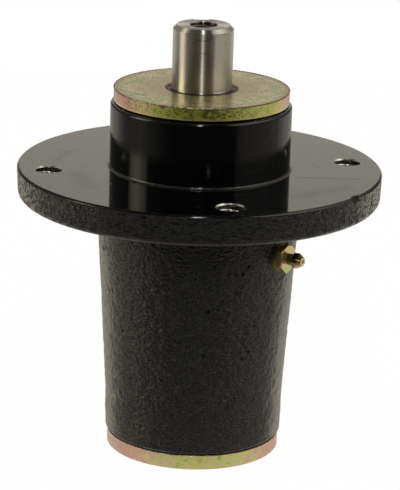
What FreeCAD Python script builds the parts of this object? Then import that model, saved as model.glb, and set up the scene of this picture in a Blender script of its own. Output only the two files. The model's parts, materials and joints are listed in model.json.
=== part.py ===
import FreeCAD, Part
import math
import os
import Sketcher

# A greasable mower deck spindle, in millimetres.
# Z runs up the shaft and z = 0 is the machined face of the flange.
# X runs out through the grease fitting, and the flange holes lie at 45 degrees to it.

doc = FreeCAD.newDocument("MowerDeckSpindle")

# Driving sizes
SIZES = [
    # housing casting
    ("hub_diameter", 76.2),
    ("hub_height", 27.5),
    ("hub_edge_radius", 1.2),
    ("flange_diameter", 153.8),
    ("flange_thickness", 13.2),
    ("flange_chamfer", 0.9),
    ("rim_draft", 0.5),
    ("rim_edge_radius", 3.0),
    ("barrel_root_diameter", 85.8),
    ("barrel_root_fillet", 4.0),
    ("barrel_end_diameter", 75.4),
    ("barrel_end_band", 17.0),
    ("barrel_edge_radius", 1.2),
    ("barrel_length", 115.9),
    ("hole_edge_distance", 12.7),
    ("flange_hole_diameter", 11.11),
    ("flange_hole_mouth", 12.3),
    ("flange_hole_angle", 45),
    ("flange_hole_count", 4),
    ("land_diameter", 54.0),
    ("land_length", 8.0),
    ("core_top_diameter", 69.0),
    ("core_bottom_diameter", 62.0),
    ("core_fillet", 2.0),
    ("mouth_chamfer", 0.8),
    # broken place in the flange's upper edge
    ("chip_angle", 1.6),
    ("chip_length", 3.0),
    ("chip_depth", 1.7),
    ("chip_skew", 24.0),
    # shaft
    ("shaft_diameter", 25.4),
    ("shaft_top", 60.7),
    ("shaft_chamfer", 1.5),
    ("shaft_fillet", 0.8),
    ("journal_diameter", 30.0),
    ("journal_chamfer", 0.5),
    ("journal_drop", 0.4),
    ("journal_recess", 1.0),
    ("keyway_width", 6.35),
    ("keyway_depth", 3.175),
    ("keyway_length", 22.0),
    ("keyway_angle", 128.7),
    ("top_thread_diameter", 11.11),
    ("top_thread_depth", 26.0),
    ("blade_thread_diameter", 12.7),
    ("blade_thread_depth", 38.0),
    ("thread_chamfer", 0.42),
    ("drill_point", 59.0),
    # spacers at the two ends
    ("top_disc_diameter", 73.6),
    ("top_disc_thickness", 5.5),
    ("bottom_disc_diameter", 73.7),
    ("bottom_disc_thickness", 6.1),
    ("disc_clearance", 0.8),
    ("disc_edge_break", 0.2),
    ("disc_bore_chamfer", 0.4),
    ("sleeve_diameter", 40.0),
    ("bore_clearance", 0.02),
    # taper roller bearings
    ("bearing_width", 17.25),
    ("cup_diameter", 62.0),
    ("cup_width", 14.0),
    ("cup_race_diameter", 49.5),
    ("cup_angle", 14.04),
    ("cup_edge_radius", 1.0),
    ("cone_width", 16.0),
    ("front_rib", 1.0),
    ("back_rib", 1.8),
    ("roller_half_taper", 2.05),
    ("roller_start", 2.4),
    ("roller_length", 11.25),
    ("roller_count", 17),
    ("roller_chamfer", 0.35),
    ("roller_clearance", 0.06),
    ("roller_end_clearance", 0.12),
    ("cage_sheet", 0.9),
    ("cage_offset", 1.6),
    ("cage_overhang", 1.2),
    ("cage_lip", 2.4),
    ("window_clearance", 0.1),
    ("tube_diameter", 37.0),
    # radial shaft seals
    ("seal_diameter", 63.5),
    ("seal_width", 7.0),
    ("seal_recess", 0.5),
    ("seal_gap", 1.0),
    ("seal_sheet", 1.0),
    ("seal_window_diameter", 48.0),
    ("lip_clearance", 0.05),
    ("lip_thickness", 1.3),
    ("garter_wire_diameter", 1.4),
    # grease fitting
    ("fitting_drop", 32.3),
    ("fitting_seat", 41.2),
    ("spot_face_diameter", 15.0),
    ("fitting_thread_diameter", 9.8),
    ("fitting_thread_length", 8.0),
    ("fitting_thread_clearance", 0.03),
    ("collar_diameter", 11.0),
    ("collar_thickness", 1.1),
    ("collar_groove", 0.8),
    ("hex_across_flats", 11.11),
    ("hex_thickness", 2.5),
    ("hex_turn", -7.7),
    ("neck_diameter", 4.8),
    ("neck_length", 2.1),
    ("head_diameter", 6.5),
    ("head_flare", 1.0),
    ("head_straight", 1.6),
    ("head_nose", 2.35),
    ("tip_diameter", 3.8),
    ("tip_orifice", 1.5),
    ("orifice_length", 0.55),
    ("ball_diameter", 2.2),
    ("ball_clearance", 0.02),
    ("chamber_diameter", 2.7),
    ("chamber_length", 7.0),
    ("seat_length", 1.0),
    ("passage_diameter", 1.6),
    ("spring_diameter", 1.7),
    ("spring_wire_diameter", 0.36),
    ("spring_turns", 6),
]

sheet = doc.addObject("Spreadsheet::Sheet", "Sizes")
for row, (alias, number) in enumerate(SIZES, start=1):
    sheet.set(f"A{row}", alias)
    sheet.set(f"B{row}", str(number))
    sheet.setAlias(f"B{row}", alias)
doc.recompute()


def size(name):
    """The cell of one driving size, as it is written in an expression."""
    return f"Sizes.{name}"


def radius(name):
    """Half of one driving diameter, as an expression."""
    return f"(Sizes.{name} / 2)"


def number_of(expression):
    """The present value of an expression of the sheet's cells."""
    found = sheet.evalExpression(expression)
    return float(getattr(found, "Value", found))


# Places along the shaft that several pieces share
SEAT_DEPTH = "(Sizes.bearing_width + Sizes.seal_gap + Sizes.seal_width + Sizes.seal_recess)"
UPPER_SHOULDER = f"(Sizes.hub_height - {SEAT_DEPTH})"
LOWER_SHOULDER = f"({SEAT_DEPTH} - Sizes.barrel_length)"
TOP_DISC_BOTTOM = "(Sizes.hub_height + Sizes.disc_clearance)"
TOP_DISC_TOP = f"({TOP_DISC_BOTTOM} + Sizes.top_disc_thickness)"
BOTTOM_DISC_TOP = "(-Sizes.barrel_length - Sizes.disc_clearance)"
BOTTOM_DISC_BOTTOM = f"({BOTTOM_DISC_TOP} - Sizes.bottom_disc_thickness)"
JOURNAL_TOP = f"({TOP_DISC_TOP} - Sizes.journal_drop)"
JOURNAL_BOTTOM = f"({BOTTOM_DISC_BOTTOM} + Sizes.journal_recess)"
BORE = "(Sizes.journal_diameter / 2 + Sizes.bore_clearance)"
CONE_FRONT = "(Sizes.bearing_width - Sizes.cone_width)"

# The rollers and both races of a bearing meet in one apex on the shaft's axis.
# Heights in a bearing are measured outwards from the housing's shoulder.
APEX = "(Sizes.cup_race_diameter / 2 / tan(Sizes.cup_angle))"
ROLLER_ANGLE = "(Sizes.cup_angle - Sizes.roller_half_taper)"
CONE_ANGLE = "(Sizes.cup_angle - 2 * Sizes.roller_half_taper)"
ROLLER_NEAR = f"((Sizes.roller_start + {APEX}) / cos({ROLLER_ANGLE}))"
ROLLER_FAR = f"({ROLLER_NEAR} + Sizes.roller_length)"
ROLLER_SMALL = f"({ROLLER_NEAR} * tan(Sizes.roller_half_taper) - Sizes.roller_clearance)"
ROLLER_LARGE = f"({ROLLER_FAR} * tan(Sizes.roller_half_taper) - Sizes.roller_clearance)"


def beside_roller(along, outwards):
    """Radius and height of the point at this distance along a roller's axis and this far outside it."""
    across = f"({along}) * sin({ROLLER_ANGLE}) + ({outwards}) * cos({ROLLER_ANGLE})"
    height = f"({along}) * cos({ROLLER_ANGLE}) - ({outwards}) * sin({ROLLER_ANGLE}) - {APEX}"
    return across, height


def on_cone_race(along, rib):
    """Radius and height on the cone's race, or this far out on the face of its rib."""
    slant = f"(({along}) / cos(Sizes.roller_half_taper))"
    across = f"{slant} * sin({CONE_ANGLE}) + ({rib}) * cos({ROLLER_ANGLE})"
    height = f"{slant} * cos({CONE_ANGLE}) - {APEX} - ({rib}) * sin({ROLLER_ANGLE})"
    return across, height


# Sketch and feature helpers
def origin_plane(body, role):
    """The body's own origin plane or axis with this role."""
    for item in body.Origin.OriginFeatures:
        if item.Role == role:
            return item
    raise ValueError(role)


def new_body(label):
    body = doc.addObject("PartDesign::Body", label)
    body.Label = label
    return body


def new_sketch(body, name, role, offset=None):
    sketch = body.newObject("Sketcher::SketchObject", name)
    sketch.AttachmentSupport = (origin_plane(body, role), [""])
    sketch.MapMode = "FlatFace"
    if offset is not None:
        sketch.setExpression("AttachmentOffset.Base.z", offset)
    return sketch


def bind(sketch, constraint, name, expression):
    """Adds one named dimension to a sketch and ties it to the sheet."""
    index = sketch.addConstraint(constraint)
    sketch.renameConstraint(index, name)
    sketch.setExpression(f"Constraints.{name}", expression)


def tie_point(sketch, geometry, end, name, across, up):
    """Holds one point of a sketch at two expressions, across and up."""
    for letter, kind, expression, axis in (("x", "DistanceX", across, -2), ("y", "DistanceY", up, -1)):
        if expression == "0":
            sketch.addConstraint(Sketcher.Constraint("PointOnObject", geometry, end, axis))
            continue
        rule = Sketcher.Constraint(kind, -1, 1, geometry, end, number_of(expression))
        bind(sketch, rule, f"{name}{letter}", expression)


def outline(sketch, corners):
    """Closed outline through corners given as (across, up) or (across, up, corner radius) expressions."""
    places = [FreeCAD.Vector(number_of(corner[0]), number_of(corner[1]), 0) for corner in corners]
    count = len(corners)
    starts, ends, arcs = list(places), list(places), {}
    for index, corner in enumerate(corners):
        if len(corner) == 2:
            continue
        before = (places[index - 1] - places[index]).normalize()
        after = (places[(index + 1) % count] - places[index]).normalize()
        half = before.getAngle(after) / 2
        reach = number_of(corner[2]) / math.tan(half)
        ends[index] = places[index] + before * reach
        starts[index] = places[index] + after * reach
        middle = (before + after).normalize() * (number_of(corner[2]) / math.sin(half))
        arcs[index] = places[index] + middle
    lines = []
    for index in range(count):
        line = Part.LineSegment(starts[index], ends[(index + 1) % count])
        lines.append(sketch.addGeometry(line, False))
    for index, corner in enumerate(corners):
        came, goes = lines[index - 1], lines[index]
        name = f"corner{index + 1}"
        if index not in arcs:
            sketch.addConstraint(Sketcher.Constraint("Coincident", came, 2, goes, 1))
            tie_point(sketch, goes, 1, name, corner[0], corner[1])
            continue
        centre = arcs[index]
        spin = (ends[index] - centre).cross(starts[index] - centre).z
        first, last = (ends[index], starts[index]) if spin > 0 else (starts[index], ends[index])
        circle = Part.Circle(centre, FreeCAD.Vector(0, 0, 1), number_of(corner[2]))
        arc = sketch.addGeometry(Part.ArcOfCircle(circle, circle.parameter(first), circle.parameter(last)), False)
        near, far = (1, 2) if spin > 0 else (2, 1)
        point = sketch.addGeometry(Part.Point(places[index]), True)
        tie_point(sketch, point, 1, name, corner[0], corner[1])
        sketch.addConstraint(Sketcher.Constraint("PointOnObject", point, 1, came))
        sketch.addConstraint(Sketcher.Constraint("PointOnObject", point, 1, goes))
        sketch.addConstraint(Sketcher.Constraint("Tangent", came, 2, arc, near))
        sketch.addConstraint(Sketcher.Constraint("Tangent", goes, 1, arc, far))
        bind(sketch, Sketcher.Constraint("Radius", arc, number_of(corner[2])), f"{name}r", corner[2])


def circle_in(sketch, name, across, up, radius_expression):
    """One circle whose centre and radius are tied to the sheet."""
    centre = FreeCAD.Vector(number_of(across), number_of(up), 0)
    shape = Part.Circle(centre, FreeCAD.Vector(0, 0, 1), number_of(radius_expression))
    index = sketch.addGeometry(shape, False)
    tie_point(sketch, index, 3, name, across, up)
    bind(sketch, Sketcher.Constraint("Radius", index, number_of(radius_expression)), f"{name}r", radius_expression)


def turn(body, name, corners, kind="PartDesign::Revolution"):
    """Turns an outline about the body's Z axis, to add metal or with a Groove to cut it."""
    sketch = new_sketch(body, f"{name}_profile", "XZ_Plane")
    outline(sketch, corners)
    feature = body.newObject(kind, name)
    feature.Profile = sketch
    feature.ReferenceAxis = (sketch, ["V_Axis"])
    feature.Angle = 360
    sketch.Visibility = False
    return feature


def turned_body(label, corners):
    body = new_body(label)
    turn(body, f"{label}_turned", corners)
    return body


def place(thing, expression):
    thing.setExpression("Placement", expression)


# The two bearing seats: the upper one opens upwards and the lower one downwards
UPPER_END = f"placement(vector(0; 0; {UPPER_SHOULDER}); rotation(vector(1; 0; 0); 0))"
LOWER_END = f"placement(vector(0; 0; {LOWER_SHOULDER}); rotation(vector(1; 0; 0); 180))"


# Housing: one casting, turned on the hub, the flange face and the bearing seats
def make_housing():
    body = new_body("spindle_housing")
    upper_seal_step = f"({UPPER_SHOULDER} + Sizes.bearing_width + Sizes.seal_gap)"
    lower_seal_step = f"({LOWER_SHOULDER} - Sizes.bearing_width - Sizes.seal_gap)"
    rim = radius("flange_diameter")
    rim_low = f"({rim} - Sizes.rim_draft)"
    mouth = f"({radius('seal_diameter')} + Sizes.mouth_chamfer)"
    knee = "(Sizes.barrel_end_band - Sizes.barrel_length)"
    lower_land = f"({LOWER_SHOULDER} + Sizes.land_length)"
    upper_land = f"({UPPER_SHOULDER} - Sizes.land_length)"
    lower_step = f"({radius('core_bottom_diameter')} - {radius('land_diameter')})"
    upper_step = f"({radius('core_top_diameter')} - {radius('land_diameter')})"
    turn(body, "casting", [
        (mouth, size("hub_height")),
        (radius("hub_diameter"), size("hub_height"), size("hub_edge_radius")),
        (radius("hub_diameter"), "0"),
        (f"{rim} - Sizes.flange_chamfer", "0"),
        (rim, "-Sizes.flange_chamfer"),
        (rim_low, "-Sizes.flange_thickness", size("rim_edge_radius")),
        (radius("barrel_root_diameter"), "-Sizes.flange_thickness", size("barrel_root_fillet")),
        (radius("barrel_end_diameter"), knee),
        (radius("barrel_end_diameter"), "-Sizes.barrel_length", size("barrel_edge_radius")),
        (mouth, "-Sizes.barrel_length"),
        (radius("seal_diameter"), "-Sizes.barrel_length + Sizes.mouth_chamfer"),
        (radius("seal_diameter"), lower_seal_step),
        (radius("cup_diameter"), lower_seal_step),
        (radius("cup_diameter"), LOWER_SHOULDER),
        (radius("land_diameter"), LOWER_SHOULDER),
        (radius("land_diameter"), lower_land, size("core_fillet")),
        (radius("core_bottom_diameter"), f"{lower_land} + {lower_step}", size("core_fillet")),
        (radius("core_top_diameter"), f"{upper_land} - {upper_step}", size("core_fillet")),
        (radius("land_diameter"), upper_land, size("core_fillet")),
        (radius("land_diameter"), UPPER_SHOULDER),
        (radius("cup_diameter"), UPPER_SHOULDER),
        (radius("cup_diameter"), upper_seal_step),
        (radius("seal_diameter"), upper_seal_step),
        (radius("seal_diameter"), "Sizes.hub_height - Sizes.mouth_chamfer"),
    ])
    drill_flange(body)
    drill_grease_port(body)
    chip_rim(body)
    return body


def drill_flange(body):
    """Four tapped holes through the flange, with a countersunk mouth in the machined face."""
    sketch = new_sketch(body, "flange_hole_centre", "XY_Plane")
    from_centre = f"({radius('flange_diameter')} - Sizes.hole_edge_distance)"
    across = f"{from_centre} * cos(Sizes.flange_hole_angle)"
    up = f"{from_centre} * sin(Sizes.flange_hole_angle)"
    circle_in(sketch, "hole", across, up, radius("flange_hole_diameter"))
    doc.recompute()
    hole = body.newObject("PartDesign::Hole", "flange_hole")
    hole.Profile = sketch
    hole.DepthType = "ThroughAll"
    hole.Threaded = False
    hole.setExpression("Diameter", size("flange_hole_diameter"))
    hole.HoleCutType = "Countersink"
    hole.setExpression("HoleCutDiameter", size("flange_hole_mouth"))
    hole.HoleCutCountersinkAngle = 90
    body.Tip = hole
    sketch.Visibility = False
    doc.recompute()
    ring = body.newObject("PartDesign::PolarPattern", "flange_holes")
    ring.Originals = [hole]
    ring.Axis = (sketch, ["N_Axis"])
    ring.Angle = 360
    ring.setExpression("Occurrences", size("flange_hole_count"))
    body.Tip = ring


def drill_grease_port(body):
    """A spot face and a tapped port through the barrel's wall, for the grease fitting."""
    face = new_sketch(body, "spot_face_circle", "YZ_Plane", size("fitting_seat"))
    circle_in(face, "face", "0", "-Sizes.fitting_drop", radius("spot_face_diameter"))
    spot = body.newObject("PartDesign::Pocket", "spot_face")
    spot.Profile = face
    spot.Reversed = True
    spot.setExpression("Length", "Sizes.barrel_root_diameter / 4")
    port_circle = new_sketch(body, "grease_port_circle", "YZ_Plane")
    wide = "(Sizes.fitting_thread_diameter / 2 + Sizes.fitting_thread_clearance)"
    circle_in(port_circle, "port", "0", "-Sizes.fitting_drop", wide)
    port = body.newObject("PartDesign::Pocket", "grease_port")
    port.Profile = port_circle
    port.Reversed = True
    port.setExpression("Length", "Sizes.barrel_root_diameter")
    face.Visibility = False
    port_circle.Visibility = False


def chip_rim(body):
    """The small broken place in the flange's upper edge."""
    chip = body.newObject("PartDesign::SubtractiveBox", "rim_chip")
    chip.setExpression("Length", size("chip_depth"))
    chip.setExpression("Width", size("chip_length"))
    chip.setExpression("Height", size("chip_depth"))
    around = "placement(vector(0; 0; 0); rotation(vector(0; 0; 1); Sizes.chip_angle))"
    edge = "placement(vector(Sizes.flange_diameter / 2 - Sizes.flange_chamfer; 0; 0);"
    tilt = f"{edge} rotation(vector(0; 1; 0); 45))"
    skew = "placement(vector(0; 0; 0); rotation(vector(1; 0; 0); Sizes.chip_skew))"
    middle = "placement(vector(-Sizes.chip_depth / 2; -Sizes.chip_length / 2; -Sizes.chip_depth / 2);"
    centred = f"{middle} rotation(vector(0; 0; 1); 0))"
    place(chip, f"{around} * {tilt} * {skew} * {centred}")


# Shaft: a long journal that carries everything, turned down to the keyed pulley end
def make_shaft():
    body = new_body("spindle_shaft")
    shaft, journal = radius("shaft_diameter"), radius("journal_diameter")
    top, blade = radius("top_thread_diameter"), radius("blade_thread_diameter")
    top_point = f"{top} / tan(Sizes.drill_point)"
    blade_point = f"{blade} / tan(Sizes.drill_point)"
    turn(body, "turned_shaft", [
        ("0", f"{JOURNAL_BOTTOM} + Sizes.blade_thread_depth + {blade_point}"),
        (blade, f"{JOURNAL_BOTTOM} + Sizes.blade_thread_depth"),
        (blade, f"{JOURNAL_BOTTOM} + Sizes.thread_chamfer"),
        (f"{blade} + Sizes.thread_chamfer", JOURNAL_BOTTOM),
        (f"{journal} - Sizes.journal_chamfer", JOURNAL_BOTTOM),
        (journal, f"{JOURNAL_BOTTOM} + Sizes.journal_chamfer"),
        (journal, f"{JOURNAL_TOP} - Sizes.journal_chamfer"),
        (f"{journal} - Sizes.journal_chamfer", JOURNAL_TOP),
        (shaft, JOURNAL_TOP, size("shaft_fillet")),
        (shaft, "Sizes.shaft_top - Sizes.shaft_chamfer"),
        (f"{shaft} - Sizes.shaft_chamfer", size("shaft_top")),
        (f"{top} + Sizes.thread_chamfer", size("shaft_top")),
        (top, "Sizes.shaft_top - Sizes.thread_chamfer"),
        (top, "Sizes.shaft_top - Sizes.top_thread_depth"),
        ("0", f"Sizes.shaft_top - Sizes.top_thread_depth - {top_point}"),
    ])
    floor = new_sketch(body, "keyway_outline", "YZ_Plane", f"{shaft} - Sizes.keyway_depth")
    side = radius("keyway_width")
    low = "(Sizes.shaft_top - Sizes.keyway_length)"
    high = "(Sizes.shaft_top + Sizes.shaft_chamfer)"
    foot = f"{low} + {side}"
    round_end = Part.Circle(FreeCAD.Vector(0, number_of(foot), 0), FreeCAD.Vector(0, 0, 1), number_of(side))
    left = FreeCAD.Vector(-number_of(side), number_of(foot), 0)
    right = FreeCAD.Vector(number_of(side), number_of(foot), 0)
    top_left = FreeCAD.Vector(left.x, number_of(high), 0)
    top_right = FreeCAD.Vector(right.x, number_of(high), 0)
    arc = floor.addGeometry(Part.ArcOfCircle(round_end, math.pi, 2 * math.pi), False)
    right_side = floor.addGeometry(Part.LineSegment(right, top_right), False)
    open_end = floor.addGeometry(Part.LineSegment(top_right, top_left), False)
    left_side = floor.addGeometry(Part.LineSegment(top_left, left), False)
    floor.addConstraint(Sketcher.Constraint("Tangent", arc, 2, right_side, 1))
    floor.addConstraint(Sketcher.Constraint("Coincident", right_side, 2, open_end, 1))
    floor.addConstraint(Sketcher.Constraint("Coincident", open_end, 2, left_side, 1))
    floor.addConstraint(Sketcher.Constraint("Coincident", left_side, 2, arc, 1))
    tie_point(floor, right_side, 1, "right_foot", side, foot)
    tie_point(floor, open_end, 1, "right_top", side, high)
    tie_point(floor, open_end, 2, "left_top", f"-{side}", high)
    tie_point(floor, left_side, 2, "left_foot", f"-{side}", foot)
    keyway = body.newObject("PartDesign::Pocket", "keyway")
    keyway.Profile = floor
    keyway.Reversed = True
    keyway.setExpression("Length", size("shaft_diameter"))
    floor.Visibility = False
    place(body, "placement(vector(0; 0; 0); rotation(vector(0; 0; 1); Sizes.keyway_angle))")
    return body


def make_spacer(label, disc, face, outer_face, cone_back, chamfer_sign):
    """A disc with a sleeve that runs in the seal and presses on the bearing cone."""
    disc_radius = radius(disc)
    edge = f"({chamfer_sign} * Sizes.disc_edge_break)"
    bore_cut = f"({chamfer_sign} * Sizes.disc_bore_chamfer)"
    return turned_body(label, [
        (BORE, cone_back),
        (radius("sleeve_diameter"), cone_back),
        (radius("sleeve_diameter"), face),
        (f"{disc_radius} - Sizes.disc_edge_break", face),
        (disc_radius, f"{face} + {edge}"),
        (disc_radius, f"{outer_face} - {edge}"),
        (f"{disc_radius} - Sizes.disc_edge_break", outer_face),
        (f"{BORE} + Sizes.disc_bore_chamfer", outer_face),
        (BORE, f"{outer_face} - {bore_cut}"),
    ])


def make_tube():
    """The tube that holds the two bearing cones apart on the journal."""
    high = f"{UPPER_SHOULDER} + {CONE_FRONT}"
    low = f"{LOWER_SHOULDER} - {CONE_FRONT}"
    tube = radius("tube_diameter")
    return turned_body("bearing_spacer_sleeve", [(BORE, high), (tube, high), (tube, low), (BORE, low)])


# Taper roller bearings
def make_cup(label, end):
    large_race = f"{radius('cup_race_diameter')} + Sizes.cup_width * tan(Sizes.cup_angle)"
    body = turned_body(label, [
        (radius("cup_race_diameter"), "0"),
        (radius("cup_diameter"), "0", size("cup_edge_radius")),
        (radius("cup_diameter"), size("cup_width"), size("cup_edge_radius")),
        (large_race, size("cup_width")),
    ])
    place(body, end)


def make_cone(label, end):
    near = f"{ROLLER_NEAR} - Sizes.roller_end_clearance"
    far = f"{ROLLER_FAR} + Sizes.roller_end_clearance"
    front_rib = on_cone_race(near, size("front_rib"))
    back_rib = on_cone_race(far, size("back_rib"))
    body = turned_body(label, [
        (BORE, CONE_FRONT),
        (front_rib[0], CONE_FRONT),
        front_rib,
        on_cone_race(near, "0"),
        on_cone_race(far, "0"),
        back_rib,
        (back_rib[0], size("bearing_width"), size("cup_edge_radius")),
        (BORE, size("bearing_width")),
    ])
    place(body, end)


def make_cage(label, end):
    """A pressed tapered cage: a sheet cone with a turned-in lip and one window for each roller."""
    body = new_body(label)
    inner = size("cage_offset")
    outer = f"({inner} + Sizes.cage_sheet)"
    small_edge = f"({ROLLER_NEAR} - Sizes.cage_overhang - Sizes.cage_sheet / 2)"
    lip_face = f"({small_edge} + Sizes.cage_sheet)"
    large_edge = f"({ROLLER_FAR} + Sizes.cage_overhang)"
    lip_edge = f"({inner} - Sizes.cage_lip)"
    turn(body, f"{label}_shell", [
        beside_roller(large_edge, inner),
        beside_roller(lip_face, inner),
        beside_roller(lip_face, lip_edge),
        beside_roller(small_edge, lip_edge),
        beside_roller(small_edge, outer),
        beside_roller(large_edge, outer),
    ])
    sketch = new_sketch(body, f"{label}_window_profile", "XZ_Plane")
    near = f"({ROLLER_NEAR} - Sizes.roller_end_clearance)"
    far = f"({ROLLER_FAR} + Sizes.roller_end_clearance)"
    outline(sketch, [
        beside_roller(near, "0"),
        beside_roller(near, f"{ROLLER_SMALL} + Sizes.window_clearance"),
        beside_roller(far, f"{ROLLER_LARGE} + Sizes.window_clearance"),
        beside_roller(far, "0"),
    ])
    start = FreeCAD.Vector(*[number_of(text) for text in beside_roller(near, "0")], 0)
    stop = FreeCAD.Vector(*[number_of(text) for text in beside_roller(far, "0")], 0)
    axis = sketch.addGeometry(Part.LineSegment(start, stop), True)
    sketch.addConstraint(Sketcher.Constraint("Coincident", axis, 1, 0, 1))
    sketch.addConstraint(Sketcher.Constraint("Coincident", axis, 2, 3, 1))
    window = body.newObject("PartDesign::Groove", f"{label}_window")
    window.Profile = sketch
    window.ReferenceAxis = (sketch, ["Axis0"])
    window.Angle = 360
    body.Tip = window
    sketch.Visibility = False
    doc.recompute()
    ring = body.newObject("PartDesign::PolarPattern", f"{label}_windows")
    ring.Originals = [window]
    ring.Axis = (sketch, ["V_Axis"])
    ring.Angle = 360
    ring.setExpression("Occurrences", size("roller_count"))
    body.Tip = ring
    place(body, end)


def make_roller(label, end, index):
    """One taper roller, standing on its own axis and leaned out to its place in the ring."""
    slope = f"(({ROLLER_LARGE} - {ROLLER_SMALL}) / Sizes.roller_length)"
    body = turned_body(label, [
        ("0", "0"),
        (f"{ROLLER_SMALL} - Sizes.roller_chamfer", "0"),
        (f"{ROLLER_SMALL} + Sizes.roller_chamfer * {slope}", size("roller_chamfer")),
        (f"{ROLLER_LARGE} - Sizes.roller_chamfer * {slope}", "Sizes.roller_length - Sizes.roller_chamfer"),
        (f"{ROLLER_LARGE} - Sizes.roller_chamfer", size("roller_length")),
        ("0", size("roller_length")),
    ])
    foot = beside_roller(ROLLER_NEAR, "0")
    turned = f"placement(vector(0; 0; 0); rotation(vector(0; 0; 1); {index} * 360 / Sizes.roller_count))"
    leaned = f"placement(vector({foot[0]}; 0; {foot[1]}); rotation(vector(0; 1; 0); {ROLLER_ANGLE}))"
    place(body, f"{end} * {turned} * {leaned}")


# Radial shaft seals
def make_seal(side, end):
    """Steel case, bonded rubber lip and garter spring, in heights outwards from the cup's shoulder."""
    inner_face = "(Sizes.bearing_width + Sizes.seal_gap)"
    outer_face = f"({inner_face} + Sizes.seal_width)"
    web = f"({outer_face} - Sizes.seal_sheet)"
    window = radius("seal_window_diameter")
    case = turned_body(f"{side}_seal_case", [
        (radius("seal_diameter"), inner_face),
        (radius("seal_diameter"), outer_face, size("seal_sheet")),
        (window, outer_face),
        (window, web),
        (f"{radius('seal_diameter')} - Sizes.seal_sheet", web),
        (f"{radius('seal_diameter')} - Sizes.seal_sheet", inner_face),
    ])
    edge = f"({radius('sleeve_diameter')} + Sizes.lip_clearance)"
    neck_in = f"({edge} + Sizes.lip_thickness)"
    neck_out = f"({neck_in} + Sizes.lip_thickness)"
    toe = f"({inner_face} + Sizes.lip_thickness)"
    lip = turned_body(f"{side}_seal_lip", [
        (f"{window} + 2 * Sizes.seal_sheet", web),
        (window, web),
        (window, outer_face),
        (neck_in, outer_face),
        (edge, f"{outer_face} - Sizes.seal_sheet / 4"),
        (neck_in, f"{web} - Sizes.seal_sheet"),
        (neck_in, f"{toe} + 2 * Sizes.lip_thickness"),
        (edge, f"{toe} + Sizes.lip_thickness"),
        (neck_in, toe),
        (neck_out, toe),
        (neck_out, f"{web} - 2 * Sizes.seal_sheet"),
        (f"{window} + 2 * Sizes.seal_sheet", f"{web} - Sizes.seal_sheet"),
    ])
    spring = doc.addObject("Part::Torus", f"{side}_seal_spring")
    spring.Label = f"{side}_seal_spring"
    spring.setExpression("Radius2", radius("garter_wire_diameter"))
    spring.setExpression("Radius1", f"{neck_out} + Sizes.lip_clearance + {radius('garter_wire_diameter')}")
    lift = f"placement(vector(0; 0; {toe} + Sizes.lip_thickness); rotation(vector(0; 0; 1); 0))"
    place(case, end)
    place(lip, end)
    place(spring, f"{end} * {lift}")


# Grease fitting, drawn along its own Z axis with the seat on the casting at zero
HEX_FOOT = "(Sizes.collar_thickness + Sizes.collar_groove)"
HEX_TOP = f"({HEX_FOOT} + Sizes.hex_thickness)"
NECK_TOP = f"({HEX_TOP} + Sizes.neck_length)"
HEAD_FOOT = f"({NECK_TOP} + Sizes.head_flare)"
HEAD_TOP = f"({HEAD_FOOT} + Sizes.head_straight)"
TIP = f"({HEAD_TOP} + Sizes.head_nose)"
SEAT_TOP = f"({TIP} - Sizes.orifice_length)"
SEAT_FOOT = f"({SEAT_TOP} - Sizes.seat_length)"
CHAMBER_FOOT = f"({SEAT_FOOT} - Sizes.chamber_length)"
SEAT_ANGLE = "atan((Sizes.chamber_diameter - Sizes.tip_orifice) / 2 / Sizes.seat_length)"
BALL_REACH = "(Sizes.ball_diameter / 2 + Sizes.ball_clearance)"
BALL_CENTRE = (
    f"({SEAT_FOOT} + ({radius('chamber_diameter')} - {BALL_REACH} / cos({SEAT_ANGLE}))"
    f" / tan({SEAT_ANGLE}))"
)
ON_BARREL = "placement(vector(Sizes.fitting_seat; 0; -Sizes.fitting_drop); rotation(vector(0; 1; 0); 90))"


def make_fitting():
    body = new_body("grease_fitting_body")
    thread, collar = radius("fitting_thread_diameter"), radius("collar_diameter")
    neck, head, tip = radius("neck_diameter"), radius("head_diameter"), radius("tip_diameter")
    turn(body, "fitting_turned", [
        ("0", "-Sizes.fitting_thread_length"),
        (f"{thread} - Sizes.collar_groove", "-Sizes.fitting_thread_length"),
        (thread, "-Sizes.fitting_thread_length + Sizes.collar_groove"),
        (thread, "0"),
        (collar, "0"),
        (collar, size("collar_thickness")),
        (thread, size("collar_thickness")),
        (thread, HEX_FOOT),
        (neck, HEX_FOOT),
        (neck, NECK_TOP),
        (head, HEAD_FOOT, f"{size('head_flare')} / 2"),
        (head, HEAD_TOP, f"{size('head_straight')} / 2"),
        (tip, TIP, f"{size('orifice_length')} / 2"),
        ("0", TIP),
    ])
    hexagon = new_sketch(body, "hexagon", "XY_Plane", HEX_FOOT)
    corner = "(Sizes.hex_across_flats / 2 / cos(30))"
    outline(hexagon, [
        (f"{corner} * cos({60 * step} + Sizes.hex_turn)", f"{corner} * sin({60 * step} + Sizes.hex_turn)")
        for step in range(6)
    ])
    pad = body.newObject("PartDesign::Pad", "hex")
    pad.Profile = hexagon
    pad.setExpression("Length", size("hex_thickness"))
    hexagon.Visibility = False
    flat = "(Sizes.hex_across_flats / 2)"
    turn(body, "hex_chamfer", [
        (flat, HEX_TOP),
        (f"{flat} + Sizes.collar_thickness", HEX_TOP),
        (f"{flat} + Sizes.collar_thickness", f"{HEX_TOP} - Sizes.collar_thickness * tan(30)"),
    ], "PartDesign::Groove")
    turn(body, "fitting_bore", [
        ("0", "-Sizes.fitting_thread_length - 1"),
        (radius("passage_diameter"), "-Sizes.fitting_thread_length - 1"),
        (radius("passage_diameter"), CHAMBER_FOOT),
        (radius("chamber_diameter"), CHAMBER_FOOT),
        (radius("chamber_diameter"), SEAT_FOOT),
        (radius("tip_orifice"), SEAT_TOP),
        (radius("tip_orifice"), f"{TIP} + 1"),
        ("0", f"{TIP} + 1"),
    ], "PartDesign::Groove")
    place(body, ON_BARREL)


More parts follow.
